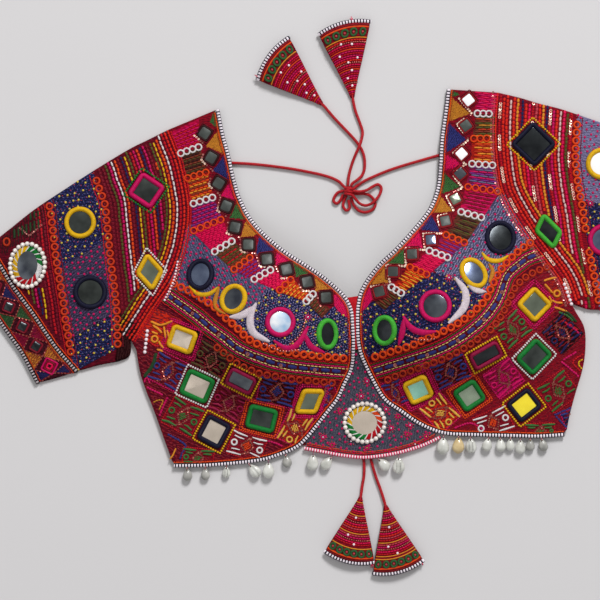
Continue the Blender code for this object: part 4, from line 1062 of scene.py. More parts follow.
def sleeveParts(side):
    # outlines, folds and ends of a sleeve and its cuff
    row = cut["sleeve" + side]
    out = row["out"]
    top, under = smooth(row["top"], fine), smooth(row["under"], fine)
    arm = moved(smooth(cut[row["arm"]], fine), out * gap / 2)
    seam, edge = smooth(row["cuffSeam"], fine), smooth(row["cuffEdge"], fine)
    found = {"seam": seam, "edge": edge}
    pairs = {"sleeve": (arm, moved(seam, -out * half)),
             "cuff": (moved(seam, out * half), moved(edge, -out * half))}
    for name, (first, last) in pairs.items():
        upper, lower = foldStretch(top, first[0], last[0]), foldStretch(under, first[-1], last[-1])
        outline = np.vstack([first, lower[1:], last[::-1][1:], upper[::-1][1:-1]])
        found[name] = {
            "outline": outline, "folds": (upper, lower), "ends": (first, last),
            "height": flatTubeHeight((upper, lower), (first, last))}
    return found


outlines = {
    "front_left": frontOutline("Left", -1), "front_right": frontOutline("Right", 1),
    "front_gusset": gussetOutline(), "back_left": backOutline("Left", -1),
    "back_right": backOutline("Right", 1),
}
sleeves = {"left": sleeveParts("Left"), "right": sleeveParts("Right")}
for side, found in sleeves.items():
    outlines["sleeve_" + side] = found["sleeve"]["outline"]
    outlines["cuff_" + side] = found["cuff"]["outline"]
print("outlines laid out:", len(outlines))

# embroidered fields of the fronts, charted on the board

# worked-ring rows that divide the neck's blocks: from the armhole side to the neck side
blockRows = {
    "left": [("white", (179.6, 154), (200, 147), 4), ("orange", (186.4, 178.8), (207.3, 172.4), 4),
        ("white", (192, 204.3), (214, 197.4), 4), ("orange", (192, 231.6), (222.7, 219.4), 5),
        ("white", (213.8, 252.9), (233.5, 241), 4), ("orange", (233.5, 270.8), (251.4, 257.4), 4),
        ("white", (253.7, 280.4), (271.8, 269.9), 4), ("orange", (278.5, 291.6), (292, 279), 3),
        ("white", (305.6, 302), (313, 293.8), 3)],
    "right": [("white", (495.7, 114.4), (475.9, 113.8), 4), ("orange", (494.4, 138.7), (472, 139), 4),
        ("white", (493.8, 165.7), (470, 164), 4), ("orange", (499.5, 192), (465.7, 187), 5),
        ("white", (482.3, 218.4), (458.7, 212), 4), ("orange", (464.4, 244), (443.4, 235), 4),
        ("white", (447.2, 258.6), (426.8, 251), 4), ("orange", (426, 275.5), (407.8, 267.3), 4),
        ("white", (400.8, 293.8), (390, 287), 3)]}
blockGrounds = [
    "groundPink", "groundGreen", "groundYellow", "groundPurple", "groundPink", "groundGreen", "groundPurple",
    "groundPink", "groundYellow", "groundGreen"]
blockThreads = {
    "left": ["magenta crimson", "moss umber sienna", "amber sienna orange", "purple magenta", "pink",
        "olive sienna moss crimson", "purple crimson", "pink", "amber orange", "moss sienna"],
    "right": ["pink magenta", "olive rust sienna olive gold", "amber orange rust", "purple slate magenta",
        "magenta maroon", "moss umber olive", "purple crimson", "pink", "amber orange", "moss sienna"]}
neckMirrors = {
    "left": [(204.8, 133.4), (211.4, 157.9), (218.8, 183.4), (226.5, 206.3), (235.4, 227.8), (248.8, 245.3),
        (267.3, 260), (286.5, 270), (306.9, 282.3), (325.5, 297.6)],
    "right": [(468.2, 100.4), (465.7, 125.9), (461.2, 154), (460, 173.8), (454.8, 199.3), (444.4, 221.6),
        (429.6, 240.5), (411.2, 254.7), (392.5, 272), (379, 291.8)]}
# where the blocks' first and last edges lie: armhole side, neck side
blockEnds = {
    "left": (((172, 132), (199, 119)), ((322, 318), (330, 309))),
    "right": (((499, 93), (474, 89)), ((384, 310), (374, 302)))}
borderTones = ["groundLeaf", "groundGold", "groundBlue", "groundMagenta"]
charts = {
    "slateLeft": [(190, 224), (204, 240), (213, 248), (224, 256), (240, 266), (257, 276), (272, 286),
        (264, 297), (257, 303), (240, 316), (226, 318), (214, 309), (200, 300), (184, 293), (170, 287),
        (172, 272), (181, 250)],
    "navyLeft": [(257, 303), (270, 286), (284, 289), (305, 298), (326, 309), (340, 304), (354, 306),
        (353, 352), (330, 356), (302, 353), (272, 347), (256, 341), (246, 333), (238, 326), (232, 318),
        (241, 315)],
    "slateRight": [(505, 194), (516, 204), (530, 224), (540, 240), (529, 244), (512, 254), (498, 271),
        (490, 286), (482, 298), (470, 290), (455, 282), (439, 276), (430, 266), (441, 256), (456, 245),
        (466, 237), (479, 216), (490, 203)],
    "navyRight": [(440, 274), (454, 280), (466, 283), (483, 293), (481, 300), (470, 311), (455, 322),
        (440, 330), (425, 337), (409, 345), (388, 351), (372, 356), (361, 350), (360, 308), (369, 303),
        (380, 297), (393, 289), (406, 281), (421, 274)]}
# rings along the top and foot of the bust band, and the dashes between
bandLines = {
    "topLeft": [(171, 282), (178, 286), (193, 292.5), (202.8, 299), (216, 307.4), (226, 317.3),
        (237.6, 327.3), (247.6, 337.2), (259.2, 343.9), (272.5, 348), (287.4, 351.3), (302.3, 353.8),
        (318.9, 355.5), (332, 357), (347, 358.6)],
    "dashLeft": [(166, 294), (176, 301), (196, 315), (212, 328), (226, 338), (239, 348), (259, 357),
        (284, 364.5), (320, 369.4), (348, 372)],
    "footLeft": [(160, 303), (172, 312), (188, 325), (203, 337), (219.5, 348), (227.8, 354.7), (236, 361.4),
        (244.4, 366.3), (252.7, 369.7), (261, 373), (271, 374.6), (287.5, 378), (304, 379.6), (320, 381.4),
        (344, 384)],
    "topRight": [(363.5, 360), (372.3, 357.2), (380.6, 354.7), (394.7, 349.8), (408.8, 345.6), (424.6, 338),
        (439.5, 331.5), (455.3, 323.2), (470, 312.4), (482.6, 300.7), (489.3, 287.4), (496.7, 274),
        (507.5, 260.8), (520.8, 249.2), (533, 241)],
    "dashRight": [(364, 375), (373, 371.5), (408, 359.5), (440, 348), (466, 332), (485, 315), (497, 298),
        (505.8, 276), (519.1, 264), (529, 257.5), (546, 252)],
    "footRight": [(369, 387), (384, 381.3), (398, 374.6), (413.8, 368.8), (428.7, 363), (443.7, 357.2),
        (459.4, 349), (473.5, 339.8), (487.6, 329.9), (497.6, 318.2), (505.9, 303), (514, 287.4),
        (527.4, 275.7), (545.7, 267.5), (558, 264)]}


def rowLine(row, longer=0.0):
    line = chart([row[1], row[2]])
    run = (line[1] - line[0]) / np.linalg.norm(line[1] - line[0]) * longer
    return np.array([line[0] - run, line[1] + run])


def blockEdges(side):
    # the lines between the neck's blocks, from the shoulder down
    first, last = blockEnds[side]
    return [chart(first)] + [rowLine(row) for row in blockRows[side]] + [chart(last)]


def blockLoops(side):
    edges = blockEdges(side)
    return [np.vstack([a, b[::-1]]) for a, b in zip(edges, edges[1:])]


# the field beside the piping at the neck's lowest point
borderFoot = {
    "left": [(332, 296), (339, 294), (345, 300), (349, 310), (350, 319), (341, 314), (334, 305)],
    "right": [(373, 288), (368, 288), (363, 296), (360, 308), (362, 311), (368, 305), (373, 298)]}


def borderLoops(side):
    # triangles between the little mirrors and the neck's piping
    edge = moved(seams[side], hands[side] * (half + 0.2))
    mirrors = chart(neckMirrors[side])
    feet = [edge[np.linalg.norm(edge - p, axis=1).argmin()] for p in mirrors]
    loops = []
    for i, (p, foot) in enumerate(zip(mirrors, feet)):
        before = feet[i - 1] if i else edge[0]
        apex = (mirrors[i - 1] + p) / 2 + (p - foot) * 0.15 if i else (before + p) / 2
        loops.append((np.array([before, foot, apex]), borderTones[i % len(borderTones)]))
    return loops + [(chart(borderFoot[side]), "groundMagenta")]


def between(first, last):
    return np.vstack([first, last[::-1]])


# painted shade: dark cloth in the hollow under the left band, and at the left sleeve's inner corner
shaded = {
    "band": [(186, 322), (203, 330), (222, 341), (240, 352), (258, 363), (244, 374), (226, 366), (206, 352),
        (190, 340)],
    "corner": [(118, 312), (126, 316), (138, 326), (142, 356), (116, 366), (117, 340)]}


def band(part, side, step=4):
    return smooth(chart(bandLines[part + side.capitalize()]), step)


def ground(part, side):
    return smooth(chart(charts[part + side.capitalize()]), 4, True)


def frontFields(side):
    fields = [(between(band("top", side), band("foot", side)), "groundMaroon"),
              (ground("slate", side), "groundSlate"), (ground("navy", side), "groundNavy")]
    fields += list(zip(blockLoops(side), blockGrounds)) + borderLoops(side)
    # on the left, painted shade: dark cloth in the hollow under the band
    return fields + [(chart(shaded["band"]), "groundPaintedShade")] * (side == "left")


# cells of the lower bust: centre on the board, half sides, turn in degrees, ground, stroke thread; the darkest
# grounds and the moss thread are painted shade
cells = {
    "left": [(159, 328, 18, 17, -24, "groundOrange", None), (212, 359, 17, 15, -28, "groundPaintedShade", "moss"),
        (168, 371, 16.5, 16, -26, "groundMaroon", "blue"), (229, 403, 17, 15, -28, "groundMaroon", "wine"),
        (277, 391, 19, 14, -12, "groundDeepPaintedShade", "blue"), (183, 416, 17, 16, -28, "groundRed", "leaf"),
        (295, 428, 17, 13.5, 64, "groundYellow", "straw"), (247, 446, 18, 13, -18, "groundRed", "white"),
        (151, 396, 10, 13, -22, "groundMaroon", None), (198, 458, 16, 10, -6, "groundRed", "leaf"),
        (328, 397, 10, 14, 22, "groundRed", "blue")],
    "right": [(556, 294, 17, 13, 40, "groundYellow", None), (511, 329, 16, 15, 38, "groundRed", "leaf"),
        (562, 333, 15, 16, 44, "groundPaintedShade", "navy"), (449.5, 371, 18, 14, 24, "groundDeepPaintedShade", "blue"),
        (503, 378, 16, 15.5, 36, "groundMagenta", "magenta"), (558, 391, 17, 16, 36, "groundRed", "leaf"),
        (440, 412.5, 17, 14, -48, "groundOrange", "straw"), (493, 423, 18, 13, 24, "groundRed", "white"),
        (578, 363, 10, 14, 30, "groundRed", None), (540, 431, 15, 8, 2, "groundRed", "leaf"),
        (572, 421, 9, 12, 20, "groundNavy", "blue"), (395, 393, 10, 14, 24, "groundRed", "blue")]}


def lowerLoop(side):
    # all that lies below the bust band
    low = band("foot", side)
    far = {"left": [(0, -200), (-240, -200), (-240, low[0][1])],
           "right": [(250, low[-1][1]), (250, -200), (0, -200)]}[side]
    return np.vstack([low, far])


def square(x, y, halfWidth, halfHeight, turn, corner=0.0, step=3.0):
    # a square's loop on the plan; corner rounds it
    loop = []
    for quarter, (sx, sy) in enumerate(((1, 1), (-1, 1), (-1, -1), (1, -1))):
        a = np.linspace(0, math.pi / 2, 6 if corner else 1) + quarter * math.pi / 2
        loop.append(np.stack([sx * (halfWidth - corner) + corner * np.cos(a),
                              sy * (halfHeight - corner) + corner * np.sin(a)], 1))
    return evenly(closedLine(turned(np.concatenate(loop), turn) + (x, y)), step)[:-1]


def cellLoops(side):
    return [(square(*chart([(x, y)])[0], wide, tall, turn, 0, 5), tone)
            for x, y, wide, tall, turn, tone, _ in cells[side]]


# sleeves: rows of rings, patches and the cuff's triangles

sleeveLines = {
    "innerLeft": [(89, 162), (94.6, 174.5), (99, 188), (105, 204), (106.8, 219.6), (108.6, 236.4),
        (110.2, 253), (112, 269), (114.3, 285.2), (116, 301.3), (117.3, 315.5), (117.5, 330), (118, 348)],
    "outerLeft": [(46, 195), (50, 207.5), (52.7, 224.5), (54.5, 240.5), (56.3, 256.6), (59, 272.7),
        (61.6, 288.8), (64.3, 304.8), (66, 320.9), (68.8, 337), (72.3, 361), (74, 372)],
    "innerRight": [(578, 105), (577, 119.8), (575.5, 139.8), (574.6, 158.8), (576.3, 176), (578.8, 192.8),
        (582, 209.4), (584.6, 227.6), (587, 244), (590.4, 260.8), (593.7, 277.3), (597, 294), (600, 312)],
    "outerRight": [(634, 118), (632, 140), (630, 165), (631, 190), (634, 215), (638, 240), (642, 265),
        (647, 290), (651, 312)]}
# tone, and the shares of the two ring rows' lengths that it takes
sleevePatches = {
    # the left sleeve's middle patch is darker than the right's: painted shade
    "left": [("groundNavy", -0.02, 0.42), ("groundSlatePaintedShade", 0.42, 0.82), ("groundNavy", 0.82, 1.04)],
    "right": [("groundMist", -0.04, 0.46), ("groundNavy", 0.46, 0.84), ("groundMist", 0.84, 1.04)]}


def sleeveLine(part, side, step=3):
    return smooth(chart(sleeveLines[part + side.capitalize()]), step)


def sleevePatchLoops(side):
    inner, outer = (sleeveLine(part, side, 4) for part in ("inner", "outer"))
    one, two = lengthOf(inner), lengthOf(outer)
    loops = []
    for tone, first, last in sleevePatches[side]:
        spots = np.linspace(max(first, 0), min(last, 1), 16)
        loops.append((between(atPlaces(inner, spots * one), atPlaces(outer, spots * two)), tone))
    return loops


cuffPitch = {"first": 14.5, "pitch": 25.0}
cuffTones = ["groundBlue", "groundGold", "groundPlum", "groundLeaf"]


def cuffSquares(side):
    # corners of the squares that stand on their points along the cuff's middle
    first, last = sleeves[side]["cuff"]["ends"]
    if first[0][1] > first[-1][1]:
        first = first[::-1]
    if last[0][1] > last[-1][1]:
        last = last[::-1]
    whole = lengthOf(first)
    shares = np.arange(cuffPitch["first"], whole + 12, cuffPitch["pitch"]) / whole
    shares = shares[shares < 1.0]
    one, two = (atPlaces(line, shares * lengthOf(line)) for line in (first, last))
    return shares, one, two, first, last


def cuffTriangles(side):
    # coloured triangles on both edges, between the squares
    shares, one, two, first, last = cuffSquares(side)
    loops = []
    for i in range(len(shares) + 1):
        before = (one[i - 1], two[i - 1]) if i else (first[0], last[0])
        after = (one[i], two[i]) if i < len(shares) else (first[-1], last[-1])
        middle = (before[0] + before[1] + after[0] + after[1]) / 4
        if i == 0:
            middle = (before[0] + before[1]) / 2 * 0.6 + (after[0] + after[1]) / 2 * 0.4
        for a, b in zip(before, after):
            if np.linalg.norm(a - b) > 4:
                loops.append((np.array([a, b, middle]), cuffTones[i % 4]))
    return loops


# heights of the cloth that lies flat: the backs, and the sleeves' under walls
flatCloth = {"back": clothForm["lining"], "under": 1.7, "step": 9}


def flatShell(name, outline, part):
    return clothShell(name, outline, "backCloth", [], lambda xy: np.full(len(xy), flatCloth[part]),
                      lambda xy, top: np.zeros(len(xy)), "backCloth", flatCloth["step"])


shells = {}
for side in ("left", "right"):
    name = "front_" + side
    # on the left, all below the band is darker cloth: painted shade under the left cup
    lower = [(lowerLoop(side), "groundMaroon")] * (side == "left")
    shells[name] = clothShell(name + "_cloth", outlines[name], "groundRed",
                              lower + cellLoops(side) + frontFields(side), frontHeight, wallUnder(frontHeight))
shells["front_gusset"] = clothShell(
    "front_gusset_cloth", outlines["front_gusset"], "groundAsh", [], frontHeight, wallUnder(frontHeight))
for side in ("left", "right"):
    shells["back_" + side] = flatShell("back_" + side + "_cloth", outlines["back_" + side], "back")


def foldPoints(found):
    # extra points beside the folds, so that these round over
    extra = []
    middle = found["outline"].mean(0)
    for fold in found["folds"]:
        side = 1 if ((middle - fold[len(fold) // 2]) * sideways(fold)[len(fold) // 2]).sum() > 0 else -1
        for inward in (0.35, 1.0, 1.9, 3.0):
            extra.append(moved(fold, side * inward)[2:-2])
    extra = np.concatenate(extra)
    return extra[inside(extra, found["outline"])]


def flatTube(name, found, tone, fields):
    # upper wall and under wall of a tube laid flat, sewn as one piece
    height = found["height"]
    upper = clothShell(name, found["outline"], tone, fields, height,
                       wallUnder(height, clothForm["lining"] + 0.2), extra=foldPoints(found))
    lower = flatShell(name + "_under", found["outline"], "under")
    bpy.ops.object.select_all(action="DESELECT")
    for piece in (lower, upper):
        piece.select_set(True)
    bpy.context.view_layer.objects.active = upper
    bpy.ops.object.join()
    return upper


for side, found in sleeves.items():
    # the left sleeve's inner corner is dark cloth, painted shade
    corner = [(chart(shaded["corner"]), "groundPaintedShade")] * (side == "left")
    shells["sleeve_" + side] = flatTube("sleeve_" + side + "_cloth", found["sleeve"],
                                        {"left": "groundMaroon", "right": "groundRed"}[side],
                                        sleevePatchLoops(side) + corner)
    shells["cuff_" + side] = flatTube("cuff_" + side + "_cloth", found["cuff"], "groundBorder",
                                      cuffTriangles(side))
for node, piece in shells.items():
    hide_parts(node)
print("cloth made:", len(shells))

# pipings: cords wrapped in two threads

pipingForm = {"halfWidth": 2.0, "halfHeight": 1.8, "sink": 0.6, "step": 0.8, "ripple": (1.2, 0.035)}


def piping(name, line, tone="pipingStripe", narrower=1.0):
    line = evenly(line, pipingForm["step"])
    centre = np.column_stack([line, frontHeight(line) - pipingForm["sink"]])
    radii = (pipingForm["halfWidth"] * narrower, pipingForm["halfHeight"])
    piece = sweep(name + "_cord", centre, radii, tone, ripple=pipingForm["ripple"])
    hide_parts(name)


piping("front_piping_left", seamLeft)
piping("front_piping_right", seamRight)
piping("gusset_piping", gussetHem, "pipingPink", 0.9)


def offUpright(sides):
    # how far each point of a ring lies round from upright, for the painted shade at the stripes' sides
    return np.abs(np.linspace(0, math.tau, sides, endpoint=False) % math.pi - math.pi / 2)


def stripedGrain(line, wide, sides):
    across = math.pi + wide * offUpright(sides)
    return np.stack(np.broadcast_arrays(distances(line)[:, None], across), -1).reshape(-1, 2)


# a piping right round a flat tube's end: its heights over and under the tube, and how high its section is there
ringForm = {
    "inset": 1.6, "over": 3.3, "under": 0.85, "middle": 2.08, "rise": 1.22, "points": 150, "turn": 9,
    "high": (1.5, 1.0, 0.68), "sides": 12}


def ringPiping(name, line):
    form = ringForm
    line = atPlaces(line, np.linspace(form["inset"], lengthOf(line) - form["inset"], form["points"]))
    away = np.gradient(line, axis=0)
    away /= np.linalg.norm(away, axis=1)[:, None]
    turn = np.linspace(math.pi / 2, -math.pi / 2, form["turn"])
    far, near = (np.column_stack([
        line[i] + hand * away[i] * (form["inset"] * np.cos(turn))[:, None],
        form["middle"] + hand * form["rise"] * np.sin(turn)])[1:-1] for i, hand in ((-1, 1), (0, -1)))
    over, under = (np.column_stack([line[::hand], np.full(len(line), form[part])])
                   for part, hand in (("over", 1), ("under", -1)))
    loop = np.vstack([over, far, under, near])
    top, end, low = form["high"]
    high = np.repeat([top, end, low, end], [len(over), len(far), len(under), len(near)])
    count = len(loop)
    run = np.roll(loop, -1, 0) - np.roll(loop, 1, 0)
    run /= np.linalg.norm(run, axis=1)[:, None]
    # the section stays level, and its left side on one hand all the way round
    level = np.column_stack([sideways(loop[:, :2], True), np.zeros(count)])
    for i in range(1, count):
        alike = level[i] @ level[i - 1]
        if np.linalg.norm(level[i]) < 0.5 or alike < 0:
            level[i] = -level[i] if alike < -0.5 else level[i - 1]
    wide, out = pipingForm["halfWidth"], circle(form["sides"])
    points = sections(loop, level, np.cross(level, run), wide * out[:, 0], high[:, None] * out[:, 1])
    cord = Parts()
    cord.add(points, stripedGrain(loop, wide, form["sides"]), "pipingDark", ringFaces(count, form["sides"], True))
    piece = cord.build(name + "_cord", True)
    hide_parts(name)


for side, found in sleeves.items():
    ringPiping("cuff_seam_piping_" + side, found["seam"])
    ringPiping("cuff_edge_piping_" + side, found["edge"])
print("pipings made")

# cowries: half width and height for the length, height off the table, thread, and the shell's outline
cowrieForm = {
    "aspect": 0.365, "flat": 0.68, "clear": 0.25, "thread": 0.5, "sides": 18, "rings": 16, "under": 0.86,
    "lip": 0.96, "beads": (0.3, 0.62),
    "outline": [(0, 0.06), (0.02, 0.2), (0.08, 0.38), (0.2, 0.62), (0.35, 0.84), (0.5, 0.97), (0.62, 1.0),
        (0.76, 0.93), (0.88, 0.7), (0.96, 0.4), (1.0, 0.05)]}
# each one's place on the hem, lean from straight down, thread, length and side; grey ones get painted shade
cowries = [
    (-161, 4, 0.2, 13.0, "grey"), (-142.5, 0, 0.2, 12.5, "grey"), (-121.5, 0, 0.2, 11.5, "slit"),
    (-101, 40, 0.6, 15.5, "slit"), (-79.5, 0, 1.6, 16.5, "back"), (-63, 12, 0.2, 13, "grey"),
    (-34.5, -4, 1.8, 16.5, "back"), (-14, -38, 1.2, 15, "back"), (27.5, 45, 0.3, 15, "back"),
    (50.5, 0, 1.8, 17, "slit"), (95.5, -4, 1.8, 17.8, "back"), (110.5, -2, 0.2, 16.8, "warm"),
    (122, 4, 0.8, 15.5, "slit"), (141, -12, 0.2, 14, "back"), (151.5, 6, 0.2, 13.8, "back"),
    (162, 0, 0.2, 12.4, "back"), (172, 0, 1.2, 14.4, "back"), (182, 0, 0.2, 12.4, "grey"),
    (192.5, 14, 0.2, 13, "grey")]
hemLeft = seamLeft[(seamLeft[:, 0] < -44) & (seamLeft[:, 1] < -160)]
hemRight = seamRight[(seamRight[:, 0] > 84) & (seamRight[:, 1] < 0)]


def makeCowrie(number, row):
    x, leanBy, thread, long, lying = row
    form = cowrieForm
    hem = hemLeft if x < gussetHem[0, 0] else gussetHem if x < gussetHem[-1, 0] else hemRight
    lean = math.radians(leanBy)
    down = np.array([math.sin(lean), -math.cos(lean)])
    across = np.array([-down[1], down[0]])
    near, reach = np.array([x, yOn(hem, x)]), 0.0
    while toLine((near + down * reach)[None], hem)[0] < half + form["thread"] * abs(math.sin(lean)):
        reach += 0.05
    halfWide = long * form["aspect"]
    tall = halfWide * form["flat"]
    middle, start = form["clear"] + tall, reach + thread + form["thread"]

    def thick(place):
        return np.interp(place, *np.array(form["outline"]).T)

    def on(place, off, high):
        # shares of the shell's length, half width and half height
        return np.append(near + down * (start + long * place) + across * halfWide * off, middle + tall * high)

    places = (1 - np.cos(np.linspace(0, math.pi, form["rings"]))) / 2
    beside, upper = circle(form["sides"]).T
    top = upper
    if lying == "slit":
        # two lips that curl in to the slit
        top = upper * form["lip"] - 0.3 * np.exp(-(beside / 0.2) ** 2) * (upper > 0.5)
    lift = np.where(upper > 0, top, upper * form["under"])
    size = thick(places)[:, None]
    centres = near + down * (start + long * places * 0.97)[:, None, None]
    xy = centres + across * (halfWide * size * beside)[..., None]
    points = np.concatenate([xy, (middle + tall * size * lift)[..., None]], -1).reshape(-1, 3)
    points = np.vstack([points, on(0, 0, 0), on(0.975, 0, 0)])
    shell = Parts()
    # grey shells take a darker copy of the white: painted shade
    shell.add(points, points[:, :2], {"warm": "cowrieWarm", "grey": "cowriePaintedShade"}.get(lying, "cowrie"),
              *tubeFaces(form["rings"], form["sides"], True))
    # the thread, with two small metal beads on it
    root = np.append(near + down * (reach - 1.2), frontHeight(near[None])[0] - 0.6)
    eye = np.append(near + down * (start + 1.4), middle + tall * 0.55)
    loop = np.linspace(root, eye, 8)
    loop[:, 2] += np.sin(np.linspace(0, math.pi, 8)) * 0.3
    shell.tube(loop, 0.42, "slate", 6)
    for share in form["beads"]:
        shell.ball(root + (eye - root) * share, 0.75, "sequin")
    # a dark dome over the thread hole: painted shade
    shell.ball(eye + (0, 0, 0.2), (0.8, 0.8, 0.5), "cowrieOpeningShade")
    if lying == "slit":
        for place in np.linspace(0.16, 0.84, 9):
            for hand in (-1, 1):
                tooth = np.array([on(place, hand * 0.2, thick(place)), on(place, hand * 0.42, thick(place))])
                tooth[0, 2] *= form["lip"]
                shell.tube(tooth, 0.26, "cowrie", 5)
        # a dark strip down the slit: painted shade
        slit = np.array([on(place, 0, 0.6 * thick(place)) for place in np.linspace(0.1, 0.9, 9)])
        shell.tube(slit, (0.5, 0.35), "cowrieOpeningShade", 6)
    name = f"cowrie_{number:02d}"
    piece = shell.build(name + "_shell")
    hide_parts(name)


for i, row in enumerate(cowries):
    makeCowrie(i + 1, row)
print("cowries made:", len(cowries))

# cone tassels: thickness at the tip and at the wide end, and how wide each part is
latkanForm = {
    "tip": 3.4, "thick": 9.0, "edge": 0.93, "edgeDrop": 2.6, "bulge": 5.0, "rings": 40, "sides": 36,
    "section": [(0.0, 0.075), (0.08, 0.13), (0.3, 0.34), (0.6, 0.64), (0.9, 0.93), (1.0, 1.0)]}
latkans = {
    "latkan_top_left": {"tip": (-26, 178.8), "a": (-90, 203), "b": (-59, 245), "tuft": 0},
    "latkan_top_right": {"tip": (4.6, 185), "a": (-29, 248), "b": (22, 261), "tuft": 1},
    "latkan_hem_left": {"tip": (12.6, -214), "a": (26, -279), "b": (-23, -268), "tuft": 0},
    "latkan_hem_right": {"tip": (37.4, -222.6), "a": (75, -277), "b": (25, -290), "tuft": 0}}

# rows of a cone's stitches from its tip on, and its sequins: share of the way down, angle round
latkanRows = {
    "hem": "crimson amber rose magenta sequins pink crimson amber rose crimson sequins pink scarlet rose",
    "top": "crimson magenta orange crimson pink sequins scarlet pink magenta"}
latkanSequins = {
    "hem": [(0.32, 0.1), (0.6, 0.35), (0.72, -0.1)],
    "top": [(0.16, 0.2), (0.27, -0.3), (0.36, 0.25), (0.47, 0.0), (0.58, -0.5), (0.7, 0.3), (0.73, -0.25),
        (0.52, 0.7)]}
# the rings near the wide end: how many, how far across and their radius
latkanRings = {"hem": (6, 0.82, 2.9), "top": (5, 0.76, 3.3)}
# the rows' places, their pitch in millimetres, and a stitch's length, space and width
latkanStitch = {"first": 0.05, "last": 0.76, "pitch": 2.05, "long": 2.6, "space": 0.5, "width": 1.5}


def latkanFrame(row):
    # tip, way to the middle of the wide end, width there, and directions across and outward
    tip, a, b = (np.array(row[k], float) for k in ("tip", "a", "b"))
    width = np.linalg.norm(a - b)
    along, way = (b - a) / width, (a + b) / 2 - tip
    out = np.array([-along[1], along[0]])
    return tip, way, width, along, out if out @ way > 0 else -out


def latkanThick(part):
    form = latkanForm
    edge = np.where(part > form["edge"], (part - form["edge"]) / (1 - form["edge"]) * form["edgeDrop"], 0)
    return form["tip"] + (form["thick"] - form["tip"]) * eased(np.minimum(part * 1.2, 1)) - edge


def latkanWide(row, part):
    wide = latkanFrame(row)[2] * np.interp(part, *np.array(latkanForm["section"]).T)
    return np.maximum(wide, latkanForm["tip"])


def onLatkan(row, part, share, out=0.0):
    # a point of the upper side: part of the way to the wide end, share across from -1 to 1
    tip, way, _, along, outward = latkanFrame(row)
    part, share = np.broadcast_arrays(np.asarray(part, float), np.asarray(share, float))
    wide = latkanWide(row, part) / 2 * share * (1 + out * 0.015)
    rounded = np.sqrt(np.maximum(1 - share ** 2, 0))
    bulge = latkanForm["bulge"] * part * (1 - share ** 2)
    xy = tip + way * part[..., None] + along * wide[..., None] + outward * bulge[..., None]
    z = latkanThick(part) * 0.5 * (1 + rounded) + out * (0.25 + 0.75 * rounded)
    return np.concatenate([xy, z[..., None]], -1)


def makeLatkan(name, row):
    # the stuffed cone, round above and flatter where it lies
    rings, sides = latkanForm["rings"], latkanForm["sides"]
    parts = np.linspace(0, 1, rings)[:, None]
    share, upper = circle(sides).T
    points, thick = onLatkan(row, parts, share[None]), latkanThick(parts)
    low = 0.5 * thick * (1 + upper * np.minimum(1.0, 1.6 * (1 - share ** 4)))
    points[..., 2] = np.where(upper > 0, thick * 0.5 * (1 + upper), np.maximum(low, 0))
    points = np.vstack([points.reshape(-1, 3), points[0].mean(0), points[-1].mean(0)])
    cone = Parts()
    cone.add(points, points[:, :2], "groundRed", *tubeFaces(rings, sides))
    made = cone.build(name + "_cone", True)
    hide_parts(name)
    return made


def sewLatkan(name, row):
    # rows of stitches, worked rings, sequins and a striped cord on a cone
    work, kind, stitch = Parts(), "hem" if "hem" in name else "top", latkanStitch
    _, way, width, _, outward = latkanFrame(row)
    length = np.linalg.norm(way)

    def arc(part, tone, radius):
        share = np.sin(np.linspace(-1, 1, 26) * math.pi / 2) * 0.97
        work.tube(onLatkan(row, part, share, radius * 0.2), (radius, radius * 0.7), tone, 6)

    def dashes(part, tone, offset):
        wide = max(latkanWide(row, part) / 2, 2)
        reach = stitch["long"] / wide
        for t in np.arange(-1.4 + offset, 1.4 - reach, (stitch["long"] + stitch["space"]) / wide):
            work.tube(onLatkan(row, part, np.sin(np.linspace(t, t + reach, 4)), 0.12),
                      (stitch["width"] * 0.5, stitch["width"] * 0.4), tone, 5)

    pattern = latkanRows[kind].split()
    for i, place in enumerate(np.arange(stitch["first"], stitch["last"], stitch["pitch"] / length)):
        tone = pattern[i % len(pattern)]
        if tone in ("amber", "orange"):
            arc(place, tone, 0.5)
        elif tone == "sequins":
            for t in np.arange(-1.25, 1.3, 4.6 / max(latkanWide(row, place), 5)):
                work.ball(onLatkan(row, place, math.sin(t), 0.4), (0.85, 0.85, 0.4), "sequinDull", 7, 4)
        else:
            dashes(place, tone, 0.15 * (i % 2))
    for place, tone, radius in ((0.785, "amber", 0.55), (0.925, "orange", 0.9), (0.955, "darkRed", 0.7)):
        arc(place, tone, radius)
    # green worked rings near the wide end
    count, reach, r = latkanRings[kind]
    turn = np.linspace(0, math.tau, 15)
    for centre in np.linspace(-reach, reach, count):
        across = np.cos(turn) * r / (width * 0.45) * max(math.sqrt(1 - centre * centre), 0.75)
        work.tube(onLatkan(row, 0.858 + np.sin(turn) * r / length, centre + across, 0.5), (1.2, 0.8), "fern", 6)
        work.ball(onLatkan(row, 0.858, centre, 0.2), (1.3, 1.3, 0.5), "rose", 8, 4)
    for place, t in latkanSequins[kind]:
        work.ball(onLatkan(row, place, math.sin(t), 0.5), (1.3, 1.3, 0.4), "beadWhite", 8, 4)
    # striped cord round the wide end
    line = onLatkan(row, 1.0, np.sin(np.linspace(-1, 1, 90) * math.pi / 2) * 0.995)
    line[:, 2] -= 0.5
    ends = [(0, math.pi), (distances(line)[-1], math.pi)]
    work.tube(line, (2.2, 1.6), "pipingStripe", 10, np.vstack([stripedGrain(line, 2.2, 10), ends]))
    # a tuft of cut thread at one corner
    corner = onLatkan(row, 1.0, 0.35 if row["tuft"] else -0.93)
    for i in range(5):
        away = outward * (2.5 + chance.random() * 2) + chance.normal(0, 1.0, 2)
        away = np.array([*away, chance.normal(0, 0.5)])
        line = np.array([corner, corner + away * 0.6 + (0, 0, 0.6), corner + away])
        line[:, 2] = np.maximum(line[:, 2], 0.5)
        work.tube(line, 0.35, "pink", 5)
    return work.build(name + "_sewn")


latkanPieces = {name: (makeLatkan(name, row), sewLatkan(name, row)) for name, row in latkans.items()}
print("tassels made:", len(latkanPieces))
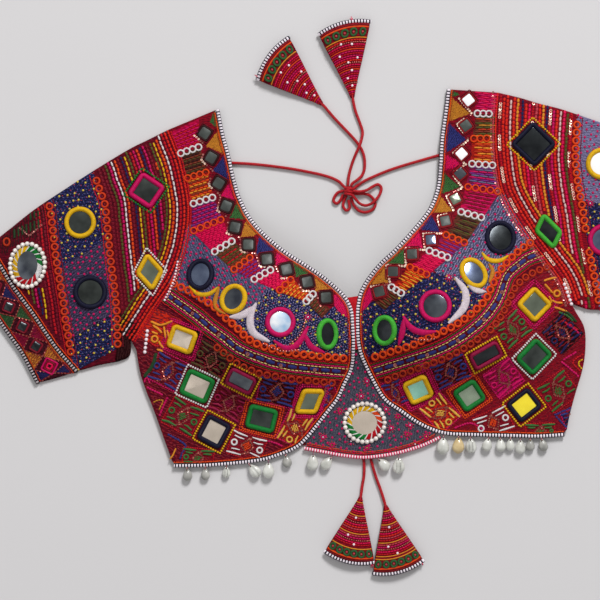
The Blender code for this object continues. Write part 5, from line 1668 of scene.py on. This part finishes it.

# framed mirrors: kind, centre, half sizes to the frame's outside, turn, frame's thread,
# glass with its painted reflection, and the dots or edging round it
mirrors = {
    "front_left": [("round", -147, 8.4, 14, 16, -10, "ink", "blue", None),
        ("round", -113.6, -16, 13.4, 15.4, -25, "yellow", "dusk", None),
        ("round", -67.5, -38.8, 15, 15, 0, "magenta", "sky", None),
        ("round", -21, -50.7, 11, 15.7, 0, "bright", "dark", None),
        ("square", -165.3, -56.2, 13.8, 12.2, -20, "yellow", "beige", "magenta"),
        ("square", -150.5, -103, 15.2, 14, -24, "green", "beige", "white"),
        ("square", -106.6, -97, 14.5, 9.5, -27, "wine", "dusk", "yellow"),
        ("lozenge", -38.4, -118, 11.6, 12.9, -2, "yellow", "sage", "magenta"),
        ("square", -86.4, -135.4, 15, 12.4, -14, "green", "grey", "orange"),
        ("square", -134, -148.5, 13.6, 14.2, -28, "ink", "beige", "yellow")],
    "front_right": [("round", 36, -47, 12, 15.3, 0, "bright", "dark", None),
        ("round", 85.3, -22.9, 16.3, 16.3, 0, "magenta", "dusk", None),
        ("round", 123.6, 9.7, 12.8, 16.5, 35, "yellow", "blue", None),
        ("round", 151.5, 45, 16, 17.2, 0, "ink", "dark", None),
        ("square", 185.4, -21.3, 13.6, 13.6, 45, "yellow", "sage", "magenta"),
        ("square", 185.4, -73.5, 15.4, 12.9, 46, "green", "grey", "white"),
        ("square", 136, -71.5, 16, 9.0, 29, "wine", "dark", "yellow"),
        ("square", 69.8, -106.3, 12.8, 12.6, 25, "yellow", "mint", "magenta"),
        ("square", 121, -112.2, 13, 13, 34, "green", "fern", "orange"),
        ("square", 175.8, -122, 14.4, 12.8, 38, "ink", "lemon", "yellow")],
    "front_gusset": [("pearl", 16.5, -139.6, 22.4, 21.6, 0,
            "orange yellow yellow yellow green green crimson crimson", "beige", None)],
    "sleeve_left": [("square", -201.3, 92.2, 14.4, 14, -34, "magenta", "grey", "green"),
        ("rhomb", -198, 11, 13, 11.8, -48, "yellow", "sage", "white"),
        ("round", -267.4, 60.3, 16, 16, 0, "yellow", "grey", None),
        ("round", -257.3, -9.3, 17, 17, 0, "ink", "grey", None),
        ("pearl", -320, 17.6, 19.8, 24, -6,
            "green green yellow yellow yellow crimson crimson white", "dusk", None)],
    "sleeve_right": [("square", 185, 138.6, 17, 16.6, -44, "ink", "dark", "yellow"),
        ("rhomb", 200, 51.6, 14.2, 10.2, -45, "bright", "dark", None),
        ("round", 253, 119, 16, 16, 0, "yellow", "bright", None),
        ("round", 255, 43, 16, 16, 0, "magenta", "blue", None),
        ("pearl", 309, 76, 19.8, 24, 6,
            "green green yellow yellow yellow crimson crimson white", "dusk", None)]}
frameForm = {
    "width": 5.0, "narrow": 3.6, "high": 3.0, "corner": 4.8, "glass": 0.9, "edging": 2.6, "away": 2.0,
    "pearl": 2.5, "pearlHigh": 3.7, "strokes": 64}
# how far a slanting frame leans over, for its height
leans = {"lozenge": 0.33, "rhomb": -0.36}


def mirrorLoop(kind, x, y, wide, tall, turn, inset, step=1.5):
    # the frame's outline, this far inside its outer edge
    if kind in ("square", "lozenge", "rhomb"):
        loop = square(0, 0, wide - inset, tall - inset, 0, max(frameForm["corner"] - inset, 0.6), step)
        return turned(loop + loop[:, 1:] * (leans.get(kind, 0), 0), turn) + (x, y)
    loop = circle(60) * (wide - inset, tall - inset)
    return evenly(closedLine(turned(loop, turn) + (x, y)), step)[:-1]


def setPearls(glass, row):
    # a mirror in a ring of pearls, with long stitches between the two
    kind, x, y, wide, tall, turn, tone, tint, _ = row
    pearl, tones = frameForm["pearl"], tone.split()
    pearls = closedLine(mirrorLoop(*row[:6], pearl))
    whole = lengthOf(pearls)
    count = round(whole / (2 * pearl - 0.25))
    glass.domes(atPlaces(pearls, np.arange(count) / count * whole), pearl, frameForm["pearlHigh"], "pearl", 12)
    ring, count = closedLine(mirrorLoop(*row[:6], 2 * pearl + 2.4)), frameForm["strokes"]
    whole = lengthOf(ring)
    for k in range(count):
        place = k / count * whole
        at = atPlaces(ring, np.array([place, (place + 3.2) % whole]))
        out = (at[0] - (x, y)) / np.linalg.norm(at[0] - (x, y))
        stroke = np.array([at[0] + out * 2.6, (at[0] + at[1]) / 2, at[1] - out * 2.4])
        glass.strokes([stroke], 1.9, 2.0, tones[k // len(tones)] if k % 4 else "white", (0.7, 1, 0.7))
    glass.plate(mirrorLoop(*row[:6], 2 * pearl + 4.2), frameForm["glass"], "mirror_" + tint)


def setMirror(glass, threads, row):
    kind, x, y, wide, tall, turn, tone, tint, edging = row
    if kind == "pearl":
        setPearls(glass, row)
        return
    width = frameForm["narrow"] if tone == "wine" else frameForm["width"]
    glass.roll(mirrorLoop(*row[:6], width / 2), width, frameForm["high"], tone, True, 0.02, True)
    glass.plate(mirrorLoop(*row[:6], width - 0.5), frameForm["glass"], "mirror_" + tint)
    if not edging:
        return
    # a square of knots that stands a little away from the frame's round corners
    edge = square(0, 0, wide + frameForm["away"], tall + frameForm["away"], 0, 0.3, 2.0)
    edge = edge + edge[:, 1:] * (leans.get(kind, 0), 0)
    line = closedLine(turned(edge, turn) + (x, y))
    if edging in ("magenta", "orange"):
        threads.sew(line, edging, 1.8, 0.5, 2.4, 1.1)
        threads.sew(closedLine(turned(edge * 1.13, turn) + (x, y)), edging, 1.8, 0.5, 1.7, 0.8)
    else:
        threads.domes(atPlaces(line, np.arange(0, lengthOf(line), frameForm["edging"])), 1.2, 1.5, edging)


def clearOf(name):
    return [mirrorLoop(*row[:6], 0.3) for row in mirrors[name]]


def extended(line, by):
    first, last = line[0] - line[1], line[-1] - line[-2]
    return np.vstack([line[0] + first / np.linalg.norm(first) * by, line,
                      line[-1] + last / np.linalg.norm(last) * by])


def stitchedField(work, lines, tones, width=2.9, gap=0.35):
    # lines of chain stitch side by side
    for line, tone in zip(lines, tones):
        if tone == "sequins":
            spots = evenly(line, 2.7)
            runs = (np.arange(len(spots)) + chance.integers(12)) % 12
            work.washers(spots[runs < 6], 1.5, "sequinPink", hole=0.45)
            work.sew(line, "crimson", 2.2, gap, width * 0.8, 0.5)
        elif tone == "beads":
            work.domes(evenly(line, 3.0), 1.25, 1.6, "sequinGold", 7)
        else:
            # the pale threads lie in longer, thinner dashes
            long, more, part = (4.4, 0.3, 0.8) if tone in ("white", "yellow", "blush") else (3.4, 0, 1)
            work.sew(line, tone, long, gap + more, width * part, 1.1, chance.random() * 2)


def ringRow(work, line, tone, radius=3.1, tube=1.05, high=1.3, pitch=8.0, heart="darkRed"):
    whole = lengthOf(line)
    count = max(1, round(whole / pitch))
    spots = atPlaces(line, (np.arange(count) + 0.5) / count * whole)
    work.rings(spots, radius, radius, tube, high, tone)
    work.domes(spots, 1.2, 0.6, heart, 7)
    return spots


def spread(first, last, count, reach=(0.0, 1.0), step=3.0):
    return [blended(first, last, share, step) for share in np.linspace(*reach, count)]


def slateGround(work, loop, turn, tone="slate", dots=7.0):
    work.seeds(loop, tone, 2.9, 2.8, turn, 0.35)
    work.domes(work.scatter(loop, dots, turn + 20), 1.35, 0.9, "magenta", 7)


def navyGround(work, loop, turn, pale=4.6):
    work.seeds(loop, "blue", 3.2, 2.0, turn, 1.1)
    work.seeds(loop, "rose", 6.5, 1.6, turn, 1.2, 0.9)
    work.seeds(loop, "mist" if pale < 4 else "slate", pale, 1.8, turn, 1.2, 0.9)
    work.domes(work.scatter(loop, 8.8, turn + 15), 1.2, 1.1, "lemon", 7)


def sewCell(work, x, y, wide, tall, turn, tone, edge):
    # a long and a short bar in each quarter, two rings and a sequined diamond within a dotted border
    centre = chart([(x, y)])[0]

    def at(points):
        return turned(np.array(points, float) * (wide, tall), turn) + centre

    corners = ((1, 1), (-1, 1), (-1, -1), (1, -1))
    work.sew(closedLine(at(np.array(corners) * 0.97)), edge, 1.7, 0.6, 1.7, 0.8)
    bars = (([(0.14, 0.74), (0.56, 0.77), (0.98, 0.84)], 1), ([(0.3, 0.43), (0.54, 0.45), (0.8, 0.5)], 0.8))
    for sx, sy in corners:
        for bar, share in bars:
            bar = at(np.array(bar) * (sx, sy) + chance.normal(0, 0.025, (3, 2)))
            # a bar that would run over an edge is shorter
            for line in (bar, bar[0] + (bar - bar[0]) * 0.6):
                if work.keep(line).all():
                    work.strokes([line], share * (2.2 if tone == "white" else 2.8), 1.4, tone, (0.55, 1, 0.75))
                    break
    ring = min(2.7, 0.42 * tall - 2)
    work.rings(at([(0.74, 0), (-0.74, 0)]), ring, ring, 1.0, 1.3, tone)
    diamond = at([(0, 0.62), (0.36, 0.05), (0.1, -0.56), (-0.34, -0.05), (0, 0.62)])
    inner = at([(0, 0.36), (0.25, 0), (0, -0.36), (-0.25, 0)])
    work.seeds(inner, "orange" if tone == "white" else tone, 1.8, 2.4, turn + 45, 0.2, 1.4, 0.8)
    work.washers(evenly(diamond, 2.3), 0.95, "sequinDull", 0.6)
    for x1, y1 in ((0.3, 0.8), (-0.3, -0.8)):
        work.washers(evenly(at([(0, y1 * 0.7), (x1, y1)]), 2.3), 0.95, "sequinDull", 0.6)


# the little mirrors of the neck: half size, corner, frame's thread and glasses, whose colours are painted
# reflections
neckForm = {
    "left": (5.0, 1.4, "umber", "neck"),
    "right": (4.8, 0.9, "darkRed", "bright neck bright dusk sage neck blue neck neck neck neck neck")}
borderThreads = {"groundLeaf": "leaf", "groundGold": "gold", "groundBlue": "blue", "groundMagenta": "pink"}


def workNeck(work, glass, side):
    # piping's edge lines, blocks of running stitch, little mirrors and the sequin zigzag
    left, inward, seam = side == "left", hands[side], seams[side]
    work.sew(moved(seam, inward * (half + 0.9)), "orange", 2.0, 0.05, 1.7, 1.1)
    work.sew(moved(seam, inward * (half + 2.5)), "darkRed", 2.0, 0.1, 1.1, 0.7)
    edges = blockEdges(side)
    for i, (a, b) in enumerate(zip(edges, edges[1:])):
        count, tones = round(np.linalg.norm(a.mean(0) - b.mean(0)) / 2.4), blockThreads[side][i].split()
        long = 3.8 if left else 8.0
        for k, line in enumerate(spread(a, b, count, (0.14, 0.88))):
            work.sew(line, tones[k % len(tones)], long, 0.8, 2.0, 1.0, long * 0.4 * (k % 2))
    arm = smooth(cut["arm" + side.capitalize()], fine)
    for k, tone in enumerate(("scarlet", "crimson" if left else "rose")):
        work.sew(moved(arm, -inward * (1.6 + 2.6 * k)), tone, 2.2, 0.1, 2.2, 1.1)
    if not left:
        work.washers(evenly(moved(arm, -inward * 6.2), 2.9), 1.2, "sequin")
    for row in blockRows[side]:
        line = rowLine(row, 1.6)
        ringRow(work, line, row[0], 3.15, 0.95, 1.5, lengthOf(line) / row[3])
    size, corner, frameTone, tints = neckForm[side]
    tints, zigzag, before = tints.split(), [], None
    for i, p in enumerate(chart(neckMirrors[side])):
        near = np.linalg.norm(seam - p, axis=1).argmin()
        run = seam[min(near + 1, len(seam) - 1)] - seam[near - 1]
        turn = math.degrees(math.atan2(run[1], run[0])) + 45
        away = (p - seam[near]) / np.linalg.norm(p - seam[near])
        glass.roll(square(*p, size + 0.9, size + 0.9, turn, corner, 1.4), 2.4, 1.4, frameTone, True)
        glass.roll(square(*p, 7.6, 7.6, turn, 0.8, 1.6), 1.0, 0.9, "maroon", True)
        glass.plate(square(*p, size, size, turn, corner, 1.4), 1.0, "mirror_" + tints[i % len(tints)])
        # the sequins turn round the mirrors' far side on the left, near side on the right
        if i:
            zigzag.append((before + p) / 2 + away * (2.2 if left else 5.0))
        zigzag.append(p + away * (10.2 if left else -9.4))
        before = p
    chain = evenly(np.array(zigzag), 2.7)
    runs = (np.arange(len(chain)) % 11) < (3 if left else 8)
    work.sew(np.array(zigzag), "maroon", 2.0, 0.1, 1.5, 0.8)
    work.washers(chain[~runs & (chance.random(len(chain)) < 0.6)], 1.0, "sequin", 0.9)
    work.washers(chain[runs], 1.15, "sequinPink", 0.9)
    for loop, tone in borderLoops(side):
        work.seeds(loop, borderThreads[tone], 1.9, 3.0, 60, 0.25)


# radius, thread, height and pitch of the rings, length, space, width and height of the dashes,
# and the lines beside them: how far off, thread, length, space and width
bandForm = {
    "top": (3.1, 1.25, 1.6, 7.9), "foot": (2.9, 1.15, 1.5, 8.0), "dash": (8.6, 2.4, 4.4, 1.1),
    "lines": [(3.2, "pale", 3.0, 0.9, 1.1), (5.0, "magenta", 2.0, 0.1, 1.7), (6.9, "olive", 2.0, 0.1, 1.5),
        (8.6, "crimson", 2.0, 0.1, 1.5)]}


def workBand(work, side):
    top, dash, foot = (band(part, side, 3) for part in ("top", "dash", "foot"))
    ringRow(work, top, "orange", *bandForm["top"])
    # the foot's rings run into the hollow on the left
    ringRow(work, foot[len(foot) // 3:] if side == "left" else foot, "rust", *bandForm["foot"])
    work.sew(dash, "blue", *bandForm["dash"])
    work.washers(evenly(dash, 33)[1:-1], 1.9, "sequin", 1.4)
    for hand in (-1, 1):
        for off, tone, long, space, width in bandForm["lines"]:
            work.sew(moved(dash, hand * off), tone, long, space, width, 0.9)


# padded satin crescents and leaves: thread, widest, points on the board
crescents = {
    "left": [("lilac", 7.5, [(231, 317), (243, 315), (257, 306)]),
        ("lilac", 8.0, [(257, 303), (251, 317), (254, 332), (270, 341)]),
        ("magenta", 6.5, [(274, 340), (286, 347.5), (298, 343), (308, 326)]),
        ("magenta", 6.0, [(304, 333), (311, 346), (324, 352)]),
        ("yellow", 5.0, [(190, 286), (199, 294), (210, 294), (220, 287)]),
        ("gold", 4.5, [(220, 287), (216, 301), (218, 309), (227, 314)])],
    "right": [("lilac", 8.0, [(453, 278), (463, 292), (461, 308), (446, 323)]),
        ("lilac", 6.5, [(464, 281), (474, 290), (483, 292)]),
        ("magenta", 6.5, [(402, 316), (409, 327), (420, 332), (434, 331)]),
        ("magenta", 6.0, [(403, 318), (401, 332), (398, 344)]),
        ("yellow", 5.0, [(480, 253), (487, 260), (498, 261), (507, 256)]),
        ("gold", 4.5, [(487, 264), (491, 272), (487, 283)])]}
# short lines of sequins or pearls: kind, pitch and points on the board
trails = {
    "left": [("beadWhite", 4.4, [(147.5, 331), (145, 352)]),
        ("sequin", 3.0, [(181, 259), (177, 279), (168, 297)]),
        ("beadWhite", 3.0, [(178, 262), (174, 281), (165, 300)]),
        ("sequin", 3.0, [(264, 343), (282, 350), (298, 349)]),
        ("sequin", 3.2, [(305, 320), (300, 334), (290, 343)])],
    "right": [("beadWhite", 4.4, [(564, 284.5), (571, 304)]),
        ("sequin", 3.0, [(513, 206), (524, 224), (536, 240)]),
        ("beadWhite", 3.0, [(516, 204), (528, 222), (540, 240)]),
        ("sequin", 3.0, [(405, 334), (418, 339), (432, 338)])]}

# single marks of the lower bust: thread, width and points on the board
marks = {
    "left": [("magenta", 2.6, [(147, 387), (155, 391), (165, 395.5)]),
        ("magenta", 2.6, [(168, 397), (163, 407), (159, 417)]),
        ("blue", 2.6, [(168, 434), (177, 439), (186, 444.5)]),
        ("blue", 2.6, [(186.5, 445), (183, 452), (179.5, 459.5)]),
        ("deepLeaf", 4.2, [(156.5, 353), (153, 365), (144.5, 377)]),
        ("amber", 2.6, [(151, 321.5), (161, 325), (173, 321)]),
        ("amber", 2.6, [(153, 325), (159.5, 330), (162, 333)]),
        ("amber", 2.4, [(152, 331.5), (155, 333), (158, 334)]),
        ("amber", 2.4, [(164, 326.5), (165, 332), (166, 338)]),
        ("amber", 2.4, [(167.5, 330), (169, 336), (170, 341)]),
        ("amber", 2.4, [(159, 341), (161, 345), (164, 348)]),
        ("amber", 2.4, [(157, 349.5), (160, 350), (163, 351.5)]),
        ("magenta", 2.4, [(268, 441), (276, 443), (284, 447)]),
        ("amber", 1.8, [(176, 448), (173, 455), (170, 459)]),
        ("crimson", 2.4, [(150, 342), (156, 346), (163, 345)]),
        ("gold", 1.8, [(153.5, 402), (159, 400), (163.5, 400.5)]),
        ("gold", 1.8, [(163.5, 400.5), (161, 406), (158.5, 411)]),
        ("magenta", 2.2, [(150, 383), (147, 377), (144, 383)])],
    "right": [("magenta", 2.8, [(560.6, 361.4), (570, 369), (580.5, 378)]),
        ("blue", 2.6, [(554, 415), (562, 411.5), (570.5, 408)]),
        ("blue", 2.6, [(555.6, 416), (561, 422), (567, 428)]),
        ("magenta", 2.6, [(454, 428), (463, 424.5), (471, 423)]),
        ("magenta", 2.6, [(471, 423), (478, 426), (484.5, 431)]),
        ("yellow", 1.9, [(584.5, 358), (578, 363), (583, 371)]),
        ("magenta", 2.6, [(563, 360), (570, 355.5), (578, 351)]),
        ("crimson", 2.4, [(583, 354), (572.5, 362), (580, 371)]),
        ("leaf", 2.8, [(558, 312), (566, 315), (573, 321)]),
        ("deepLeaf", 2.8, [(563, 310), (570, 315), (576, 322)]),
        ("magenta", 2.6, [(566, 324), (573, 328), (581, 336)]),
        ("crimson", 2.6, [(562, 321), (570, 325), (579, 331)]),
        ("amber", 2.4, [(543, 281), (549, 279), (556, 277.5)]),
        ("amber", 2.4, [(544, 284), (548, 288.5), (552, 293)]),
        ("amber", 2.4, [(551, 300), (556, 302.5), (562, 303)]),
        ("amber", 2.4, [(553.5, 307), (560, 309), (567, 312)]),
        ("amber", 2.2, [(548, 296), (550, 299), (551, 303)])]}
# small flowers, a worked ring round a bead
flowers = {
    "front_left": [(307.5, 317)], "front_right": [(447, 278), (421, 365)], "sleeve_right": [(589.5, 203.5)],
    "front_gusset": [(361, 396), (340, 411), (323, 437), (332, 445), (351, 441), (367, 447.6), (367, 381),
        (380, 396), (386, 409), (398, 416), (391, 428), (407, 434), (410, 425), (426, 436), (415, 444)]}


def sewFlowers(work, name):
    for i, spot in enumerate(chart(flowers[name])):
        for a in circle(9, i):
            work.sew(spot + a * [[2.6], [3.6], [4.6]], "rose", 2.0, 0.1, 0.9, 0.8)
        work.rings([spot], 1.9, 1.9, 0.7, 1.2, "magenta")
        work.domes([spot], 0.9, 1.2, "sequinGold" if i % 2 else "beadWhite", 7)


# stitches under the cells: their run, threads and pitches, and the threads of the cells' edges
lowerGround = {
    "left": (-24, (("darkRed", 5.0), ("maroon", 4.0))), "right": (36, (("darkRed", 4.0), ("maroon", 4.4)))}
cellEdges = {"white": "crimson", "leaf": "crimson", "moss": "maroon", "wine": "maroon", "navy": "umber"}


def workLower(work, side):
    # cells of the lower bust, on a ground of short stitches
    turn, threads = lowerGround[side]
    for tone, pitch in threads:
        work.seeds(lowerLoop(side), tone, pitch, 3.4, turn, 0.12, 1.4, 0.5)
    for x, y, wide, tall, lean, _, tone in cells[side]:
        if tone:
            sewCell(work, x, y, wide, tall, lean, tone, cellEdges.get(tone, "magenta"))
    for tone, width, points in marks[side]:
        line = smooth(chart(points), 1.4)
        if tone in ("deepLeaf", "amber"):
            work.strokes([line], width, 1.5, tone, (0.6,) + (1,) * (len(line) - 2) + (0.6,))
        else:
            work.sew(line, tone, 2.4, 0.2, width, 1.2)
    # dark stitches over the painted shade under the left band
    if side == "left":
        work.seeds(chart(shaded["band"]), "umber", 2.6, 3.4, turn, 0.15, 1.6, 0.7)
    ring = {"left": (154.8, 339), "right": (556.5, 293.5)}[side]
    work.rings(chart([ring]), 3.0, 3.0, 1.2, 1.5, "amber")


def workFront(side):
    name = "front_" + side
    threads = Heap(frontHeight, outlines[name], clearOf(name))
    glass = Heap(frontHeight, outlines[name])
    for row in mirrors[name]:
        setMirror(glass, threads, row)
    workNeck(threads, glass, side)
    framed = threads.taken
    threads.taken = framed + blockLoops(side) + [borderLoops(side)[-1][0]]
    form, pale = {"left": ((115, "slate", 5.8), 2.7), "right": ((60, "mist"), 4.6)}[side]
    slateGround(threads, ground("slate", side), *form)
    sewFlowers(threads, name)
    navyGround(threads, ground("navy", side), 20, pale)
    threads.taken = framed
    for tone, widest, points in crescents[side]:
        line = smooth(chart(points), 1.6)
        width = widest * np.sin(np.linspace(0.12, math.pi - 0.12, len(line))) ** 0.6
        glass.roll(line, width, 1.9, tone, uneven=0.04, satin=True)
    for tone, pitch, points in trails[side]:
        threads.domes(evenly(smooth(chart(points), 2), pitch), 1.9 if pitch > 4 else 1.3, 1.7, tone, 8, 0.2)
    workBand(threads, side)
    workLower(threads, side)
    return threads.build(name + "_threads"), glass.build(name + "_mirrors")


# threads of the sleeve's lines: those that follow the armhole, then those beside the row of rings
nearTones = {
    "left": ["scarlet", "crimson", "white", "orange", "yellow", "olive"],
    "right": ["sequins", "scarlet", "scarlet", "blush", "scarlet", "amber"]}
farTones = {
    "left": ["maroon", "maroon", "olive", "magenta", "white", "orange", "maroon", "navy", "yellow", "olive",
        "crimson", "magenta", "orange", "navy", "magenta", "maroon", "orange", "olive", "crimson"],
    "right": ["sequins", "olive", "pink", "blush", "scarlet", "magenta", "sequins", "navy", "amber",
        "scarlet", "rose", "sequins", "pink", "scarlet", "navy", "crimson", "sequins", "amber", "olive"]}
# the lines' pitch and first place, the rings' radius, thread, height and pitch, and each side's stitch
# width and space
sleeveForm = {"pitch": 3.5, "first": 2.0, "ring": (3.1, 1.2, 1.5, 8.2), "left": (2.6, 0.6), "right": (2.9, 0.45)}
outerTones = [
    "maroon", "crimson", "maroon", "yellow", "navy", "magenta", "olive", "yellow", "purple", "magenta",
    "yellow", "maroon", "navy", "yellow", "maroon", "magenta"]


# the patch above the pearl mirror, on the plan of the left sleeve: rows of bars give x, y, length and count
# how far up it lies on each side, and where the lines end below it
upperPatch = {
    "patch": [(-352, 60), (-300, 85), (-303, 44), (-318, 43), (-334, 38), (-352, 20)],
    "bars": [(-333, 45, 9, 7), (-329, 58, 7, 6)], "trail": [(-328, 55), (-318, 47), (-306, 58)],
    "rings": [(-343.5, 31), (-341, 41)], "rise": {"left": 0, "right": 58}, "split": {"left": -3, "right": 95}}


def workSleeve(side):
    name, out, left = "sleeve_" + side, hands[side], side == "left"
    found = sleeves[side]["sleeve"]
    threads = Heap(found["height"], outlines[name], clearOf(name))
    glass = Heap(found["height"], outlines[name])
    for row in mirrors[name]:
        setMirror(glass, threads, row)
    arm = found["ends"][0]
    form = sleeveForm[side]
    inner, outer = (sleeveLine(part, side) for part in ("inner", "outer"))
    pitch, follow = sleeveForm["pitch"], len(nearTones[side])
    lines = [moved(arm, out * (sleeveForm["first"] + pitch * k)) for k in range(follow)]
    stitchedField(threads, lines, nearTones[side], *form)
    strip = np.vstack([arm, moved(arm, out * (1.6 + pitch * (follow - 0.5)))[::-1]])
    framed = threads.taken
    corner = [chart(shaded["corner"])] * left
    threads.taken = framed + [strip] + corner
    stitchedField(threads, [extended(moved(inner, -out * (6.2 + pitch * k)), 60)
                            for k in range(len(farTones[side]))], farTones[side], *form)
    threads.taken = framed
    for line in (inner, outer):
        ringRow(threads, line, "ember" if left else "orange", *sleeveForm["ring"])
        for off, tone in ((-5.2, "crimson"), (5.2, "maroon")):
            threads.sew(moved(line, off), tone, 2.0, 0.1, 1.4, 0.8)
    for (loop, tone), lean in zip(sleevePatchLoops(side), (0, 40, 10)):
        if tone == "groundNavy":
            navyGround(threads, loop, lean)
        else:
            # on the left sleeve the seeds are darker too: painted shade
            slateGround(threads, loop, lean, "mist" if tone == "groundMist" else "dusk", 6.4)
    # dark stitches over the painted shade of the left sleeve's inner corner
    if left:
        threads.seeds(*corner, "umber", 3.0, 3.4, 80, 0.15, 1.8, 0.9)
    else:
        sewFlowers(threads, name)
    seam = moved(sleeves[side]["seam"], -out * (half + 1.0))
    threads.sew(seam, "orange", 2.0, 0.05, 1.5, 0.9)
    far = moved(seam, -out * 2.4)
    strip = np.vstack([seam, moved(seam, -out * 3.6)[::-1]])
    threads.taken = framed + [strip]
    # the first lines run past the patch over the pearl mirror, the others end below it
    split = upperPatch["split"][side]
    for k, tone in enumerate(outerTones):
        line = extended(moved(outer, out * (8.0 + pitch * k)), 60)
        if k > 2:
            line = line[line[:, 1] < split]
        if len(line) > 1:
            stitchedField(threads, [line], [tone], *form)

    def place(points):
        return np.array(points, float) * (-out, 1) + (0, upperPatch["rise"][side])

    # the patch over the pearl mirror: dark green bars, a line of sequins and an orange ring
    threads.seeds(place(upperPatch["patch"]), "umber", 3.2, 3.4, 90, 0.15, 1.6, 0.6)
    for x, y, long, count in upperPatch["bars"]:
        for k in range(count):
            bar = place([(x + 4.0 * k, y + 1.6 * k), (x + 4.0 * k - 0.4, y + 1.6 * k + long)])
            bar = np.array([bar[0], bar.mean(0), bar[1]])
            if threads.keep(bar).all():
                threads.strokes([bar], 2.4, 1.2, "deepLeaf", (0.7, 1, 0.7))
    threads.washers(evenly(place(upperPatch["trail"]), 2.5), 1.0, "sequin", 0.7)
    threads.rings(place(upperPatch["rings"]), 3.0, 3.6, 1.2, 1.5, "rust")
    threads.taken = framed
    return threads.build(name + "_threads"), glass.build(name + "_mirrors")


# half sizes of the little mirrors' frames and glasses, and the end square's rings
cuffForm = {"frame": 4.9, "glass": 3.9, "nest": ((6.2, "magenta"), (4.2, "maroon"), (2.4, "pink"))}
cuffThreads = {"groundLeaf": "deepLeaf", "groundGold": "sienna", "groundBlue": "navy", "groundPlum": "maroon"}


def workCuff(side):
    name, out = "cuff_" + side, hands[side]
    found = sleeves[side]["cuff"]
    threads = Heap(found["height"], outlines[name])
    glass = Heap(found["height"], outlines[name])
    first, last = found["ends"]
    for line, hand in ((first, out), (last, -out)):
        threads.sew(moved(line, hand * 0.9), "rust", 2.0, 0.05, 1.4, 0.9)
    threads.sew(moved(first, out * 2.4), "darkRed", 2.0, 0.1, 1.0, 0.7)
    for loop, tone in cuffTriangles(side):
        threads.seeds(loop, cuffThreads[tone], 2.6 if side == "left" else 3.4, 3.0, 60, 0.25)
        threads.sew(closedLine(evenly(closedLine(loop), 3)[:-1]), "darkRed", 1.8, 0.3, 1.2, 0.8)
        threads.washers(evenly(loop[[0, 2, 1]], 3.4), 0.8, "sequinDull", 0.7)
    _, one, two, *_ = cuffSquares(side)
    for k, (a, b) in enumerate(zip(one, two)):
        centre = (a + b) / 2
        turn = math.degrees(math.atan2(*(b - a)[::-1])) + 45
        if k:
            size = cuffForm["frame"]
            glass.roll(square(*centre, size, size, turn, 0.8, 1.4), 2.4, 1.4, "maroon", True)
            size = cuffForm["glass"]
            # dark glass: a painted reflection
            glass.plate(square(*centre, size, size, turn, 0.5, 1.4), 0.8, "mirror_dark")
        else:
            # the end square is worked in pink, ring within ring
            for size, tone in cuffForm["nest"]:
                glass.roll(square(*centre, size, size, turn + 4, 0.5, 1.4), 2.0, 1.1, tone, True)
    return threads.build(name + "_threads"), glass.build(name + "_mirrors")


# the facing between the fronts: its width at the top, how fast it narrows and to what share, and its points
facing = {"wide": 11.6, "run": 24.0, "least": 0.38, "down": [-14, -17, -20, -24, -29, -35, -42, -50, -58, -66]}


def workGusset():
    name = "front_gusset"
    threads = Heap(frontHeight, outlines[name], clearOf(name))
    glass = Heap(frontHeight, outlines[name])
    setMirror(glass, threads, mirrors[name][0])
    slateGround(threads, outlines[name], 80, "ash")
    # red facing between the two fronts, narrower as they meet
    down = np.array(facing["down"], float)
    across = [seam[np.abs(seam[:, 1, None] - down).argmin(0), 0] for seam in (seamLeft, seamRight)]
    threads.strokes([np.column_stack([np.mean(across, 0), down])], facing["wide"], 0.7, "crimson",
                    np.maximum(1 - (down[0] - down) / facing["run"], facing["least"]))
    sewFlowers(threads, name)
    low = moved(gussetHem, half + 1.2)
    threads.sew(low, "crimson", 2.0, 0.05, 1.8, 1.0)
    threads.sew(moved(low, 1.8), "orange", 2.0, 0.05, 1.2, 0.8)
    return threads.build(name + "_threads"), glass.build(name + "_mirrors")


sewn = {"front_gusset": workGusset()}
for side in ("left", "right"):
    sewn["front_" + side] = workFront(side)
    sewn["sleeve_" + side] = workSleeve(side)
    sewn["cuff_" + side] = workCuff(side)
print("embroidered pieces:", len(sewn))

# the ties: each one's far end and the pieces there, and its length, printed

cordFacts = {
    "tie_left": ("knot", [knotWrap, knotOver]), "tie_right": ("knot", []),
    "tie_tail_left": ("fitting", latkanPieces["latkan_top_left"]),
    "tie_tail_right": ("fitting", latkanPieces["latkan_top_right"]),
    "tie_loop_1": ("knot", []), "tie_loop_2": ("knot", []), "tie_loop_3": ("knot", []),
    "tie_loop_4": ("knot", []),
    "hem_tie_left": ("fitting", latkanPieces["latkan_hem_left"]),
    "hem_tie_right": ("fitting", latkanPieces["latkan_hem_right"]),
}
for name, (far, pieces) in cordFacts.items():
    piece, line = tiePieces[name]
    long = round(float(lengthOf(line) * mm), 3)
    tuple(line[0] * mm)
    (line * mm).tolist()
    list(pieces)
    print(name, "length", long)
